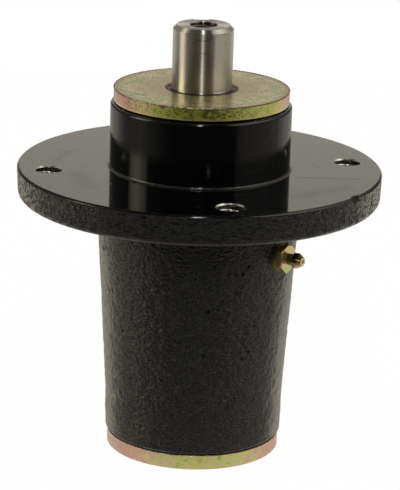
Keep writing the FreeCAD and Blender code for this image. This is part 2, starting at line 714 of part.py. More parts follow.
def make_check_ball():
    ball = doc.addObject("Part::Sphere", "grease_fitting_ball")
    ball.Label = "grease_fitting_ball"
    ball.setExpression("Radius", radius("ball_diameter"))
    at_seat = f"placement(vector(0; 0; {BALL_CENTRE}); rotation(vector(0; 0; 1); 0))"
    place(ball, f"{ON_BARREL} * {at_seat}")


def make_check_spring():
    """The coil spring between the chamber's floor and the check ball."""
    body = new_body("grease_fitting_spring")
    wire = radius("spring_wire_diameter")
    foot = f"({CHAMBER_FOOT} + Sizes.ball_clearance + {wire})"
    head = f"({BALL_CENTRE} - sqrt(({BALL_REACH} + {wire})^2 - {radius('spring_diameter')}^2))"
    sketch = new_sketch(body, "spring_wire", "XZ_Plane")
    circle_in(sketch, "wire", radius("spring_diameter"), foot, wire)
    coil = body.newObject("PartDesign::AdditiveHelix", "spring_coil")
    coil.Profile = sketch
    coil.ReferenceAxis = (sketch, ["V_Axis"])
    coil.Mode = "height-turns-angle"
    coil.setExpression("Turns", size("spring_turns"))
    coil.setExpression("Height", f"{head} - {foot}")
    sketch.Visibility = False
    place(body, ON_BARREL)


make_housing()
make_shaft()
make_spacer("top_spacer", "top_disc_diameter", TOP_DISC_BOTTOM, TOP_DISC_TOP,
            f"({UPPER_SHOULDER} + Sizes.bearing_width)", 1)
make_spacer("bottom_spacer", "bottom_disc_diameter", BOTTOM_DISC_TOP, BOTTOM_DISC_BOTTOM,
            f"({LOWER_SHOULDER} - Sizes.bearing_width)", -1)
make_tube()
for side, end in (("upper", UPPER_END), ("lower", LOWER_END)):
    make_cup(f"{side}_bearing_cup", end)
    make_cone(f"{side}_bearing_cone", end)
    make_cage(f"{side}_bearing_cage", end)
    make_seal(side, end)
    for index in range(int(number_of(size("roller_count")))):
        make_roller(f"{side}_roller_{index + 1:02d}", end, index)
make_fitting()
make_check_ball()
make_check_spring()
doc.recompute()

# Every piece is checked and written under its own label
pieces = [item for item in doc.Objects if item.TypeId == "PartDesign::Body"]
pieces += [item for item in doc.Objects if item.TypeId in ("Part::Torus", "Part::Sphere")]
faults = [item.Name for item in doc.Objects if {"Invalid", "Error"} & set(item.State)]
if faults:
    raise RuntimeError(f"features that failed: {faults}")
os.makedirs("parts", exist_ok=True)
for piece in pieces:
    if piece.Shape.isNull() or not piece.Shape.isValid():
        raise RuntimeError(f"bad shape: {piece.Label}")
    piece.Shape.exportStep(f"parts/{piece.Label}.step")
print(f"{len(pieces)} pieces written")
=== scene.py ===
# %% [markdown]
# # A mower deck spindle, dressed for its picture
#
# The solids of this spindle come from its construction: a cast housing with a round flange, a keyed
# steel shaft on taper roller bearings, two zinc-plated spacer discs and a grease fitting. Here each
# of them gets the finish that the real one has. The pieces too fine for the construction, such as
# the screw threads, are added as surfaces that are worked out with numpy.

# %% Load the fixed frame
import json
import math

import bpy
import numpy as np
from mathutils import Matrix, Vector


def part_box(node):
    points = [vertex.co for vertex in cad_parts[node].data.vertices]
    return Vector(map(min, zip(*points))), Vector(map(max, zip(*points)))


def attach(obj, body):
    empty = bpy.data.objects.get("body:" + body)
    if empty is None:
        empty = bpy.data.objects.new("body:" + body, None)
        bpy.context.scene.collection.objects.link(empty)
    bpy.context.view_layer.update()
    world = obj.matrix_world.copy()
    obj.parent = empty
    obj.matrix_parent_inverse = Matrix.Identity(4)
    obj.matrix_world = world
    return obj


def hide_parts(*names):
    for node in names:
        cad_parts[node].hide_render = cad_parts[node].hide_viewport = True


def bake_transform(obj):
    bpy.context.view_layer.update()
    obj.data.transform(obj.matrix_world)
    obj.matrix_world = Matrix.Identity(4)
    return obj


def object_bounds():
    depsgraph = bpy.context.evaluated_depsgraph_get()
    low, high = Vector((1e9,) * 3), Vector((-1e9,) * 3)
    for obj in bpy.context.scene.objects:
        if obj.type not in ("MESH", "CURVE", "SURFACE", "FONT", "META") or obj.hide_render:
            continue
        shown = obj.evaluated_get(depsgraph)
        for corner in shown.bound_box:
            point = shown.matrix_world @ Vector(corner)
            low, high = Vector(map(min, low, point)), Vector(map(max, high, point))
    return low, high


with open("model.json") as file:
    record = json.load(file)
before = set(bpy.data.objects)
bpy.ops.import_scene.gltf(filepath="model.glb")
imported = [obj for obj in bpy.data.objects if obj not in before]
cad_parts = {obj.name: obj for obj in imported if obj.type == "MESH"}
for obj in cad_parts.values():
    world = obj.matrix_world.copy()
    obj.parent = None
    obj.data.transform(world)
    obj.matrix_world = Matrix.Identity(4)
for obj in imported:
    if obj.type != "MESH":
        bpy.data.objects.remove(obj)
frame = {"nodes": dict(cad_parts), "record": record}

MM = 0.001
nodes = frame["nodes"]
solid_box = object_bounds()
print(len(nodes), "solids,", [round(v / MM, 1) for v in solid_box[1] - solid_box[0]], "mm overall")

# %% [markdown]
# ## The camera
#
# A photograph of turned parts tells where its camera stood, because every turned edge is a circle
# and its image an ellipse. The camera was found by fitting those ellipses. It stands 1.1 m away,
# looks down by almost 17 degrees and leans by a degree and a half. The part is turned so that the
# grease fitting points to the right and a little towards the camera.

# %% Camera
VIEW_TURN = math.radians(33.5)
CAMERA_BACK = 1106.64 * MM
CAMERA_HEIGHT = 296.90 * MM
PITCH = 0.2913
YAW = 0.0010
ROLL = 0.0289
FOCAL_PIXELS = 2716.37
PICTURE_HEIGHT_PIXELS = 490
SENSOR = 36.0


def turned(x, y, z):
    """A point or direction given as the camera sees it (x right, y away), in the part's own frame."""
    across = x * math.cos(VIEW_TURN) - y * math.sin(VIEW_TURN)
    along = x * math.sin(VIEW_TURN) + y * math.cos(VIEW_TURN)
    return np.array([across, along, z])


ahead = turned(math.sin(YAW) * math.cos(PITCH), math.cos(YAW) * math.cos(PITCH), -math.sin(PITCH))
level = turned(math.cos(YAW), -math.sin(YAW), 0)
above = np.cross(level, ahead)
right = math.cos(ROLL) * level + math.sin(ROLL) * above
upward = -math.sin(ROLL) * level + math.cos(ROLL) * above
camera = bpy.data.objects.new("photo_camera", bpy.data.cameras.new("photo_camera"))
camera.data.sensor_width = SENSOR
camera.data.lens = FOCAL_PIXELS * SENSOR / PICTURE_HEIGHT_PIXELS
pose = np.eye(4)
pose[:3, 0] = right
pose[:3, 1] = upward
pose[:3, 2] = -ahead
pose[:3, 3] = turned(0, -CAMERA_BACK, CAMERA_HEIGHT)
camera.matrix_world = Matrix(pose.tolist())
bpy.context.scene.collection.objects.link(camera)
bpy.context.scene.camera = camera
print("lens", round(camera.data.lens, 2), "mm, camera at", [round(v, 3) for v in pose[:3, 3]])

# %% [markdown]
# ## Small helpers for node trees
#
# Every finish below is a tree of shader nodes. A node tree is easier to read as a sum, so these
# helpers add one node at a time and hand back its output, and numbers and outputs mix freely.

# %% Numbers and colours


def feed(tree, socket, value):
    """Sets a socket to a number or colour, or links another node's output to it."""
    if isinstance(value, bpy.types.NodeSocket):
        tree.links.new(value, socket)
    else:
        socket.default_value = value


def calc(tree, operation, *values):
    """One Math node: the result of the operation on the values."""
    node = tree.nodes.new("ShaderNodeMath")
    node.operation = operation
    for socket, value in zip(node.inputs, values):
        feed(tree, socket, value)
    return node.outputs[0]


def product(tree, first, *others):
    """The values multiplied together, with one Math node for each step."""
    for value in others:
        first = calc(tree, "MULTIPLY", first, value)
    return first


def total(tree, first, *others):
    """The values added together, with one Math node for each step."""
    for value in others:
        first = calc(tree, "ADD", first, value)
    return first


def without(tree, mask, share=1.0):
    """1 where the mask is 0, and less by the share where it is 1."""
    return calc(tree, "SUBTRACT", 1.0, product(tree, mask, share))


def between(tree, share, first, second):
    """The first value where share is 0, the second where it is 1."""
    return total(tree, first, product(tree, share, calc(tree, "SUBTRACT", second, first)))


def length_of(tree, first, second):
    """The square root of the sum of two squares: a distance from its two components."""
    return calc(tree, "SQRT", total(tree, product(tree, first, first), product(tree, second, second)))


def ramp_between(tree, value, low, high):
    """0 up to low, 1 from high on, and a smooth step between; low may be the larger of the two."""
    node = tree.nodes.new("ShaderNodeMapRange")
    node.interpolation_type = "SMOOTHSTEP"
    feed(tree, node.inputs["Value"], value)
    node.inputs["From Min"].default_value = low
    node.inputs["From Max"].default_value = high
    return node.outputs[0]


def ramp_from(tree, value, low, high):
    """0 where value is low, 1 where it is high, and a straight line between."""
    node = tree.nodes.new("ShaderNodeMapRange")
    feed(tree, node.inputs["Value"], value)
    node.inputs["From Min"].default_value = low
    node.inputs["From Max"].default_value = high
    return node.outputs[0]


def window(tree, value, low, high, soft):
    """1 where value lies between low and high, 0 outside, with edges that are soft wide."""
    rise = ramp_between(tree, value, low - soft / 2, low + soft / 2)
    fall = ramp_between(tree, value, high - soft / 2, high + soft / 2)
    return calc(tree, "SUBTRACT", rise, fall)


def blend_colours(tree, share, first, second):
    """The first colour where share is 0, the second where it is 1."""
    node = tree.nodes.new("ShaderNodeMix")
    node.data_type = "RGBA"
    feed(tree, node.inputs[0], share)
    feed(tree, node.inputs[6], first)
    feed(tree, node.inputs[7], second)
    return node.outputs[2]


def colour_ramp(tree, value, stops):
    """A colour by value: stops are pairs of a position from 0 to 1 and a colour."""
    node = tree.nodes.new("ShaderNodeValToRGB")
    feed(tree, node.inputs[0], value)
    elements = node.color_ramp.elements
    while len(elements) < len(stops):
        elements.new(0.5)
    for element, (position, colour) in zip(elements, stops):
        element.position = position
        element.color = colour
    return node.outputs[0]


print("helpers for numbers and colours ready")

# %% [markdown]
# ### Where a point lies, and what it looks like there
#
# A finish has to know where it is on the part. These helpers read the point on the piece, say how
# far it lies to the left or in front as the camera sees it, and lay noise and relief over it.

# %% Places, noise and relief


def place_of(tree):
    """The point on the piece, in metres in the part's frame, and its x, y and z."""
    point = tree.nodes.new("ShaderNodeTexCoord").outputs["Object"]
    parts = tree.nodes.new("ShaderNodeSeparateXYZ")
    tree.links.new(point, parts.inputs[0])
    return point, parts.outputs[0], parts.outputs[1], parts.outputs[2]


def leftward_of(tree, x, y):
    """How far a point lies to the left of the part's axis, as the camera sees it."""
    return total(tree, product(tree, x, -math.cos(VIEW_TURN)), product(tree, y, -math.sin(VIEW_TURN)))


def forward_of(tree, x, y):
    """How far a point lies in front of the part's axis, as the camera sees it."""
    return total(tree, product(tree, x, math.sin(VIEW_TURN)), product(tree, y, -math.cos(VIEW_TURN)))


def slant_of(tree):
    """0 where the surface faces the view, and near 1 where it is seen edge-on."""
    node = tree.nodes.new("ShaderNodeLayerWeight")
    node.inputs["Blend"].default_value = 0.5
    return node.outputs["Facing"]


def noise(tree, point, size, detail=2.0, stretch=(1, 1, 1)):
    """Noise from 0 to 1 with grains of about the size, in metres, longer where stretch is larger."""
    mapping = tree.nodes.new("ShaderNodeMapping")
    mapping.inputs["Scale"].default_value = [1 / (size * s) for s in stretch]
    tree.links.new(point, mapping.inputs[0])
    node = tree.nodes.new("ShaderNodeTexNoise")
    node.inputs["Scale"].default_value = 1.0
    node.inputs["Detail"].default_value = detail
    tree.links.new(mapping.outputs[0], node.inputs["Vector"])
    return node.outputs[0]


def bump(tree, height, depth):
    """Bends the surface's normal by a height from 0 to 1 that stands for depth metres."""
    node = tree.nodes.new("ShaderNodeBump")
    node.inputs["Distance"].default_value = depth
    feed(tree, node.inputs["Height"], height)
    return node.outputs[0]


def new_finish(name, **values):
    """A material with one Principled shader, and uniform values set straight on its sockets."""
    material = bpy.data.materials.new(name)
    material.use_nodes = True
    shader = material.node_tree.nodes["Principled BSDF"]
    for socket, value in values.items():
        shader.inputs[socket.replace("_", " ")].default_value = value
    return material, material.node_tree, shader.inputs


print("helpers for places, noise and relief ready")

# %% [markdown]
# ### Single marks
#
# Scratches, pits and specks aren't a pattern: each has its own place. A mark is a line from one end
# to the other, or a spot where both ends are the same. The shader works out how far each point lies
# from that line, so the mark stays sharp in any picture, and no image has to be painted.

# %% Marks by distance


def vector(tree, operation, first, second):
    """One Vector Math node: a number for a distance or dot product, else a vector."""
    node = tree.nodes.new("ShaderNodeVectorMath")
    node.operation = operation
    feed(tree, node.inputs[0], first)
    feed(tree, node.inputs["Scale" if operation == "SCALE" else 1], second)
    return node.outputs["Value" if operation in ("DISTANCE", "DOT_PRODUCT") else 0]


def rim_point(radius_mm, angle_deg, z_mm):
    """A point in metres from a radius, an angle round the axis and a height."""
    a = math.radians(angle_deg)
    return np.array([radius_mm * math.cos(a), radius_mm * math.sin(a), z_mm]) * MM


def mark_mask(tree, point, marks):
    """1 on each fine line or spot and 0 beside it, by the distance to the stretch between two ends."""
    strongest = 0.0
    for start, end, width_mm in marks:
        stretch = rim_point(*end) - rim_point(*start)
        squared = max(float(stretch @ stretch), 1e-12)
        reached = vector(tree, "SUBTRACT", point, tuple(rim_point(*start)))
        share = vector(tree, "DOT_PRODUCT", reached, tuple(stretch / squared))
        share = calc(tree, "MAXIMUM", calc(tree, "MINIMUM", share, 1.0), 0.0)
        nearest = vector(tree, "SCALE", tuple(stretch), share)
        gap = vector(tree, "DISTANCE", reached, nearest)
        mask = calc(tree, "SUBTRACT", 1.0, ramp_between(tree, gap, 0, width_mm * MM))
        strongest = calc(tree, "MAXIMUM", strongest, mask)
    return strongest


print("helper for marks ready")

# %% [markdown]
# ## The studio
#
# Black gloss paint shows little of itself: it shows the room. The reflections in the photograph
# tell what the room was. Behind the part is a white sweep, at its left stands a bright soft box,
# over the camera hangs one narrow lamp, and the camera's side of the room is dark. The world
# carries that room as a band of light round the horizon. What the camera sees directly is white.

# %% The room as the world's light
WARM = np.array([1.0, 0.94, 0.84])
TABLE_RING = [
    # bearing from the camera in degrees, then how bright the room is there
    (-180, 0.58), (-140, 0.70), (-126, 0.44), (-109, 0.20), (-93, 0.25), (-80, 0.32), (-67, 0.17),
    (-56, 0.11), (-45, 0.06), (-34, 0.03), (0, 0.025), (36, 0.03), (45, 0.04), (48, 0.15), (59, 0.24),
    (70, 0.27), (97, 0.27), (118, 0.38), (140, 0.70), (180, 0.58),
]
WALL_RING = [
    (-180, 0.87), (-170, 0.80), (-161, 0.25), (-148, 0.13), (-104, 0.13), (-66, 0.14), (-48, 0.05),
    (-33, 0.03), (0, 0.02), (36, 0.03), (45, 0.04), (48, 0.22), (80, 0.26), (110, 0.15), (148, 0.12),
    (161, 0.22), (170, 0.80), (180, 0.87),
]
UPPER_RING = [
    (-180, 0.45), (-150, 0.35), (-130, 0.22), (-100, 0.22), (-66, 0.24), (-48, 0.10), (0, 0.06),
    (44.5, 0.08), (46.5, 2.00), (90, 1.60), (120, 0.60), (140, 0.35), (180, 0.45),
]
# elevations in degrees between which one ring gives way to the next, and the ceiling's light
TABLE_TO_WALL = (-4.0, 4.0)
WALL_TO_UPPER = (14.0, 24.0)
UPPER_TO_CEILING = (50.0, 66.0)
CEILING = 0.06
SOFT_BOX_LOW = 1.0
SOFT_BOX_HIGH = 42.0
SOFT_BOX_ACROSS = [
    # bearing in degrees, red, green and blue light
    (-101.0, 0.5, 0.45, 0.35), (-98.0, 1.8, 1.6, 1.2), (-92.0, 3.1, 2.7, 2.0), (-85.5, 3.9, 3.4, 2.5),
    (-82.0, 3.2, 2.9, 2.2), (-79.0, 2.3, 2.2, 1.7), (-74.0, 1.9, 1.85, 1.45), (-70.0, 0.8, 0.8, 0.6),
]
print("room in three rings and a soft box with", len(SOFT_BOX_ACROSS), "stops of light")

# %% [markdown]
# ### The world's nodes
#
# A direction has a bearing round the part and an elevation above the table. The bearing picks the
# light from a ring, and the elevation blends one ring into the next.

# %% World
world = bpy.data.worlds.new("studio")
bpy.context.scene.world = world
world.use_nodes = True
tree = world.node_tree
turn = tree.nodes.new("ShaderNodeMapping")
turn.inputs["Rotation"].default_value = (0, 0, -VIEW_TURN)
tree.links.new(tree.nodes.new("ShaderNodeTexCoord").outputs["Generated"], turn.inputs[0])
direction = tree.nodes.new("ShaderNodeSeparateXYZ")
tree.links.new(turn.outputs[0], direction.inputs[0])
side, away, height = direction.outputs[0], direction.outputs[1], direction.outputs[2]
bearing = product(tree, calc(tree, "ARCTAN2", side, product(tree, away, -1.0)), 180 / math.pi)
elevation = product(tree, calc(tree, "ARCSINE", height), 180 / math.pi)
turn_share = total(tree, calc(tree, "DIVIDE", bearing, 360.0), 0.5)


def ring_of(stops):
    """The light round the horizon at one height: bearings in degrees and how bright each is."""
    return colour_ramp(tree, turn_share, [(a / 360 + 0.5, (*(WARM * light), 1)) for a, light in stops])


room = ring_of(TABLE_RING)
room = blend_colours(tree, ramp_between(tree, elevation, *TABLE_TO_WALL), room, ring_of(WALL_RING))
room = blend_colours(tree, ramp_between(tree, elevation, *WALL_TO_UPPER), room, ring_of(UPPER_RING))
room = blend_colours(tree, ramp_between(tree, elevation, *UPPER_TO_CEILING), room, (*(WARM * CEILING), 1))
soft_box = colour_ramp(tree, turn_share, [(a / 360 + 0.5, (*light, 1)) for a, *light in SOFT_BOX_ACROSS])
in_box = product(
    tree,
    window(tree, bearing, SOFT_BOX_ACROSS[0][0], SOFT_BOX_ACROSS[-1][0], 2.0),
    window(tree, elevation, SOFT_BOX_LOW, SOFT_BOX_HIGH, 3.0),
)
room = blend_colours(tree, in_box, room, soft_box)
path = tree.nodes.new("ShaderNodeLightPath")
seen = blend_colours(tree, path.outputs["Is Camera Ray"], room, (1, 1, 1, 1))
tree.links.new(seen, tree.nodes["Background"].inputs["Color"])
print("world with", len(tree.nodes), "nodes")

# %% [markdown]
# ### The lamp over the camera
#
# A narrow lamp gives the thin bright line down the shaft and the small sparks on the rounded
# edges. It is a real area lamp, because a small bright source is sampled better that way. It is
# hidden from the camera, so that a view from another side doesn't show it.

# %% Lamp


def area_lamp(name, bearing_deg, elevation_deg, distance, wide, tall, power, colour):
    """A rectangular lamp at a bearing from the camera's own, and an elevation, aimed at the hub."""
    lamp = bpy.data.lights.new(name, "AREA")
    lamp.shape = "RECTANGLE"
    lamp.size = wide
    lamp.size_y = tall
    lamp.energy = power
    lamp.color = colour
    a = math.radians(bearing_deg)
    e = math.radians(elevation_deg)
    back = turned(math.sin(a) * math.cos(e), -math.cos(a) * math.cos(e), math.sin(e))
    across = turned(math.cos(a), math.sin(a), 0)
    placed = np.eye(4)
    placed[:3, 0] = across
    placed[:3, 1] = np.cross(back, across)
    placed[:3, 2] = back
    placed[:3, 3] = back * distance
    made = bpy.data.objects.new(name, lamp)
    made.matrix_world = Matrix(placed.tolist())
    made.visible_camera = False
    bpy.context.scene.collection.objects.link(made)
    return made


front_lamp = area_lamp(
    "front_lamp", bearing_deg=-1.0, elevation_deg=44.0, distance=1.3,
    wide=0.09, tall=1.05, power=3.6, colour=(1.0, 0.99, 0.98),
)
print("lamp at", [round(v, 2) for v in front_lamp.matrix_world.translation], "m")

# %% [markdown]
# ### The floor
#
# The floor is a pale table. The gloss paint shows how its light falls off: bright beside and behind
# the part, dim a hand's breadth in front of it. What the camera sees of it directly is raised to
# the white of the backdrop, and the part's shadow stays in it as a light grey.

# %% Floor
FLOOR_LEVEL = solid_box[0][2]
# right and away from the part's axis as the camera sees it, in metres
corners = [(-0.45, -0.30), (0.45, -0.30), (0.45, 0.7), (-0.45, 0.7)]
floor_mesh = bpy.data.meshes.new("floor")
floor_mesh.from_pydata([tuple(turned(x, y, FLOOR_LEVEL)) for x, y in corners], [], [(0, 1, 2, 3)])
floor = bpy.data.objects.new("floor", floor_mesh)
bpy.context.scene.collection.objects.link(floor)
pale, tree, shader = new_finish("pale_table", Base_Color=(0.35, 0.35, 0.35, 1), Roughness=0.7)
point, x, y, z = place_of(tree)
behind = product(tree, forward_of(tree, x, y), -1.0)
TABLE_LIGHT = [
    # metres behind the part's axis, then the light
    (-0.30, 0.01), (-0.10, 0.03), (-0.068, 0.10), (-0.044, 0.25), (0.02, 0.38), (0.10, 0.42),
    (0.30, 0.40), (0.42, 0.32), (0.60, 0.25),
]
NEAR, FAR = TABLE_LIGHT[0][0], TABLE_LIGHT[-1][0]
table_light = colour_ramp(tree, ramp_from(tree, behind, NEAR, FAR), [
    ((place - NEAR) / (FAR - NEAR), (*(WARM * light), 1)) for place, light in TABLE_LIGHT
])
seen = tree.nodes.new("ShaderNodeLightPath").outputs["Is Camera Ray"]
white_glow = tree.nodes.new("ShaderNodeEmission")
feed(tree, white_glow.inputs["Color"], blend_colours(tree, seen, table_light, (0.97, 0.97, 0.97, 1)))
both = tree.nodes.new("ShaderNodeAddShader")
dimmed = tree.nodes.new("ShaderNodeMixShader")
tree.links.new(product(tree, seen, 0.85), dimmed.inputs[0])
tree.links.new(tree.nodes["Principled BSDF"].outputs[0], dimmed.inputs[1])
tree.links.new(dimmed.outputs[0], both.inputs[0])
tree.links.new(white_glow.outputs[0], both.inputs[1])
tree.links.new(both.outputs[0], tree.nodes["Material Output"].inputs["Surface"])
floor_mesh.materials.append(pale)
print("floor at", round(FLOOR_LEVEL / MM, 1), "mm")

# %% [markdown]
# ## Black paint over the casting
#
# One coat of black paint covers the whole housing, and looks like two finishes. Over the turned
# hub and flange face it is a mirror. Over the cast barrel and rim it follows the sand of the mould:
# fine grains, soft hollows and a few open pits. One material serves both, and the height on the
# part chooses between them, as the lathe did. Before the material come the marks that it carries.

# %% Marks on the housing
PITS = [
    # angle in degrees, height in mm, radius in mm
    (-125.75, -32.99, 0.75), (-49.18, -51.61, 0.45), (-50.83, -71.22, 0.6), (-22.14, -71.02, 0.45),
    (-26.33, -73.62, 0.4), (-25.56, -32.79, 0.45), (-29.33, -35.60, 0.5), (-105.34, -65.66, 0.4),
    (-91.78, -106.13, 0.4), (-28.45, -22.01, 0.5), (-46.76, -31.81, 0.35), (-18.71, -59.97, 0.4),
    (-43.3, -50.84, 0.35), (30.0, -44.0, 0.5), (75.0, -80.0, 0.6), (140.0, -38.0, 0.5),
    (-165.0, -92.0, 0.55), (-16.9, -2.3, 0.55), (-103.0, -7.3, 0.5), (-89.0, -1.9, 0.5),
    (-42.2, -11.3, 0.45), (-96.0, -3.4, 0.6),
]
FACE_SCRATCHES = [
    # radius in mm, angle in degrees and height in mm of each end, then the width in mm
    ((42.7, 12.3, 0), (51.5, 16.9, 0), 0.6), ((51.5, 16.9, 0), (57.7, 18.1, 0), 0.9),
    ((57.7, 18.1, 0), (68.5, 21.0, 0), 0.7), ((47.8, 49.0, 0), (54.2, 27.6, 0), 0.18),
]
FACE_SMUDGES = [
    ((60.4, -148.9, 0), (59.5, -157.2, 0), 3.0), ((59.5, -157.2, 0), (59.1, -163.0, 0), 5.0),
    ((54.0, -124.0, 0), (60.0, -106.0, 0), 9.0), ((60.0, -12.0, 0), (66.0, 8.0, 0), 10.0),
]
WALL_SCRATCHES = [
    ((38.1, -20.4, 15.8), (38.1, -14.9, 16.3), 0.30), ((38.1, -14.9, 16.3), (38.1, -8.6, 19.9), 0.30),
    ((38.1, -8.6, 19.9), (38.1, -3.4, 24.3), 0.30),
]
PAINT_SPECKS = [
    ((48.9, -104.1, 0), (48.9, -104.1, 0), 0.45), ((64.4, -89.3, 0), (64.4, -89.3, 0), 0.35),
    ((60.0, -45.0, 0), (60.0, -45.0, 0), 0.30), ((64.0, -115.0, 0), (64.0, -115.0, 0), 0.35),
]
BROKEN_EDGE = [((76.2, -1.1, -1.2), (76.2, 0.7, -1.0), 2.2)]
print(len(PITS), "pits,", len(FACE_SCRATCHES + WALL_SCRATCHES), "scratch lines and one broken edge")

# %% [markdown]
# ### Where the pits lie
#
# A pit is a hole that gas left in the iron, on the barrel or on the flange's rim. How far it lies
# from the axis follows from the casting's own taper, so only its angle and height are listed.

# %% Pits on the casting
FLANGE_FOOT = -13.2
BAND_TOP = -98.9
BARREL_ROOT = 42.9
BARREL_END = 37.7
RIM_RADIUS = 76.8
SKIN_STANDS_OUT = 0.2
PIT_SPREAD = 2.0


def barrel_radius(z_mm):
    """The barrel's outer radius in mm: a straight taper below the flange, then a short cylinder."""
    share = np.clip((z_mm - FLANGE_FOOT) / (BAND_TOP - FLANGE_FOOT), 0, 1)
    return BARREL_ROOT + (BARREL_END - BARREL_ROOT) * share


def pit_places():
    """Each open pit as a spot: on the rim if it lies above the flange's foot, else on the cast skin."""
    spots = []
    for angle_deg, z_mm, size in PITS:
        on_barrel = float(barrel_radius(z_mm)) + SKIN_STANDS_OUT
        spot = (RIM_RADIUS if z_mm > FLANGE_FOOT else on_barrel, angle_deg, z_mm)
        spots.append((spot, spot, PIT_SPREAD * size))
    return spots


nearest_pit = min(spot[0] for spot, _, _ in pit_places())
print("pits from", round(nearest_pit, 1), "to", RIM_RADIUS, "mm off the axis")

# %% [markdown]
# ### Zones of the housing
#
# The lathe cut the hub, its foot and the flange's upper face. Taps and boring bar went through the
# paint later, so the holes and the bore are bare iron. Comparisons of height and radius give each
# zone a mask that is 1 inside it. The front of the rim has a mask of its own, because the sand
# dragged there and left streaks instead of holes.

# %% Zones of the housing
FLANGE_EDGE = -0.95 * MM
HOLE_CIRCLE = 64.2 * MM
HOLE_REACH = 6.2 * MM
BORE_REACH = 36.0 * MM
BORE_TOP = 27.4 * MM
RIM_START = 60.0 * MM

paint, tree, shader = new_finish("housing_paint", IOR=1.5)
point, x, y, z = place_of(tree)
radius = length_of(tree, x, y)
turned_skin = calc(tree, "GREATER_THAN", z, FLANGE_EDGE)
cast_skin = without(tree, turned_skin)
hole_dx = calc(tree, "SUBTRACT", calc(tree, "ABSOLUTE", x), HOLE_CIRCLE * math.sqrt(0.5))
hole_dy = calc(tree, "SUBTRACT", calc(tree, "ABSOLUTE", y), HOLE_CIRCLE * math.sqrt(0.5))
in_hole = calc(tree, "LESS_THAN", length_of(tree, hole_dx, hole_dy), HOLE_REACH)
in_bore = calc(tree, "LESS_THAN", radius, BORE_REACH)
in_bore = product(tree, in_bore, calc(tree, "LESS_THAN", z, BORE_TOP))
bare = calc(tree, "MAXIMUM", in_hole, in_bore)
on_rim = calc(tree, "GREATER_THAN", radius, RIM_START)
on_wall = ramp_between(tree, z, 0.5 * MM, 2.0 * MM)
streaky = product(tree, ramp_between(tree, forward_of(tree, x, y), 58 * MM, 70 * MM), on_rim)
print("zones of the housing from", len(tree.nodes), "nodes")

# %% [markdown]
# ### Relief of the casting
#
# Three noises of different size make the sand of the mould, and cavities lie between the grains.
# The noise is stretched, so that its grains are a little longer round the part than along it.

# %% Relief of the casting
grain = noise(tree, point, 0.8 * MM, 2.0, stretch=(2.0, 2.0, 1.0))
sand = noise(tree, point, 1.6 * MM, 2.0, stretch=(1.8, 1.8, 1.0))
hollows = noise(tree, point, 7.0 * MM, 1.0)
pits = mark_mask(tree, point, pit_places())
barrel_holes = ramp_between(tree, noise(tree, point, 0.9 * MM, 1.0, stretch=(1, 1, 0.7)), 0.56, 0.72)
rim_holes = ramp_between(tree, noise(tree, point, 1.4 * MM, 2.0), 0.48, 0.58)
rim_lines = ramp_between(tree, noise(tree, point, 0.7 * MM, 2.0, stretch=(5, 5, 0.8)), 0.46, 0.62)
rim_cavity = between(tree, streaky, rim_holes, rim_lines)
cavity = between(tree, on_rim, product(tree, barrel_holes, 0.45), rim_cavity)
cast_height = total(tree, product(tree, grain, 0.90), sand)
cast_height = product(tree, cast_height, without(tree, streaky, 0.5))
cast_height = total(tree, cast_height, product(tree, hollows, 0.8), product(tree, cavity, -0.25))
cast_height = product(tree, cast_height, without(tree, pits))
print("casting's relief up to node", len(tree.nodes))

# %% [markdown]
# ### Relief of the turned faces
#
# Turning leaves fine rings, and paint flows out over them in long soft waves. On the flange's face
# the rings all but vanish, and on the hub's wall they show. Scratches go down and specks stand up.
# The broken place in the flange's edge is a real cut in the solid, and gets its rough floor here.

# %% Relief of the turned faces
RELIEF = 0.9 * MM

rings = noise(tree, point, 0.5 * MM, 2.0, stretch=(80, 80, 0.8))
flow = noise(tree, point, 12.0 * MM, 3.0)
scratches = mark_mask(tree, point, FACE_SCRATCHES + WALL_SCRATCHES)
specks = mark_mask(tree, point, PAINT_SPECKS)
ring_depth = total(tree, product(tree, on_wall, 0.024), 0.0012)
turned_height = total(
    tree, product(tree, rings, ring_depth), product(tree, flow, 0.010),
    product(tree, scratches, -0.03), product(tree, specks, 0.15),
)
broken = ramp_from(tree, mark_mask(tree, point, BROKEN_EDGE), 0.1, 0.5)
height = total(
    tree, product(tree, cast_height, cast_skin), product(tree, turned_height, turned_skin),
    product(tree, broken, -1.1),
)
feed(tree, shader["Normal"], bump(tree, height, RELIEF))
print("relief of", RELIEF / MM, "mm for a height of 1")

# %% [markdown]
# ### Colour of the paint
#
# The paint is nearly black everywhere. Rough paint is painted paler where it is seen edge-on: dust
# and grain there, and a painted sheen for the light that they catch, so the colour of the casting
# runs with the slant of the view. Hollows, pits and the broken place get painted shade. Along the
# flange's lower edge runs a pale line, a painted highlight of the ledge. The walls of the holes are
# steel, with painted shade from just below the mouth.

# %% Colour of the paint
TURNED_BLACK = (0.0012, 0.0014, 0.0020, 1)
CAST_BLACK = (0.005, 0.005, 0.0052, 1)
# colours of dust with a painted sheen, for the casting where it is seen edge-on
BARREL_DUST_SHEEN, RIM_DUST_SHEEN = (0.165, 0.160, 0.148, 1), (0.20, 0.195, 0.18, 1)
THICK_BARREL_DUST_SHEEN, THICK_RIM_DUST_SHEEN = (0.302, 0.297, 0.280, 1), (0.336, 0.330, 0.314, 1)
# painted shade in the hollows between the grains
CAVITY_PAINTED_SHADE = (0.003, 0.003, 0.003, 1)
# painted shade inside the open pits
PIT_PAINTED_SHADE = (0.002, 0.002, 0.002, 1)
# painted shade in the broken place of the flange's edge
BREAK_PAINTED_SHADE = (0.001, 0.001, 0.001, 1)
# painted highlight of the ledge along the flange's lower edge
PAINTED_LEDGE_HIGHLIGHT = (0.10, 0.098, 0.088, 1)
SCRATCH_BROWN = (0.008, 0.007, 0.006, 1)
SPECK_GREY = (0.30, 0.30, 0.29, 1)
# bare steel at the mouth of the holes, and steel with painted shade deeper in them
MOUTH_STEEL, SHADED_DEEP_STEEL = (0.80, 0.79, 0.77, 1), (0.06, 0.055, 0.05, 1)

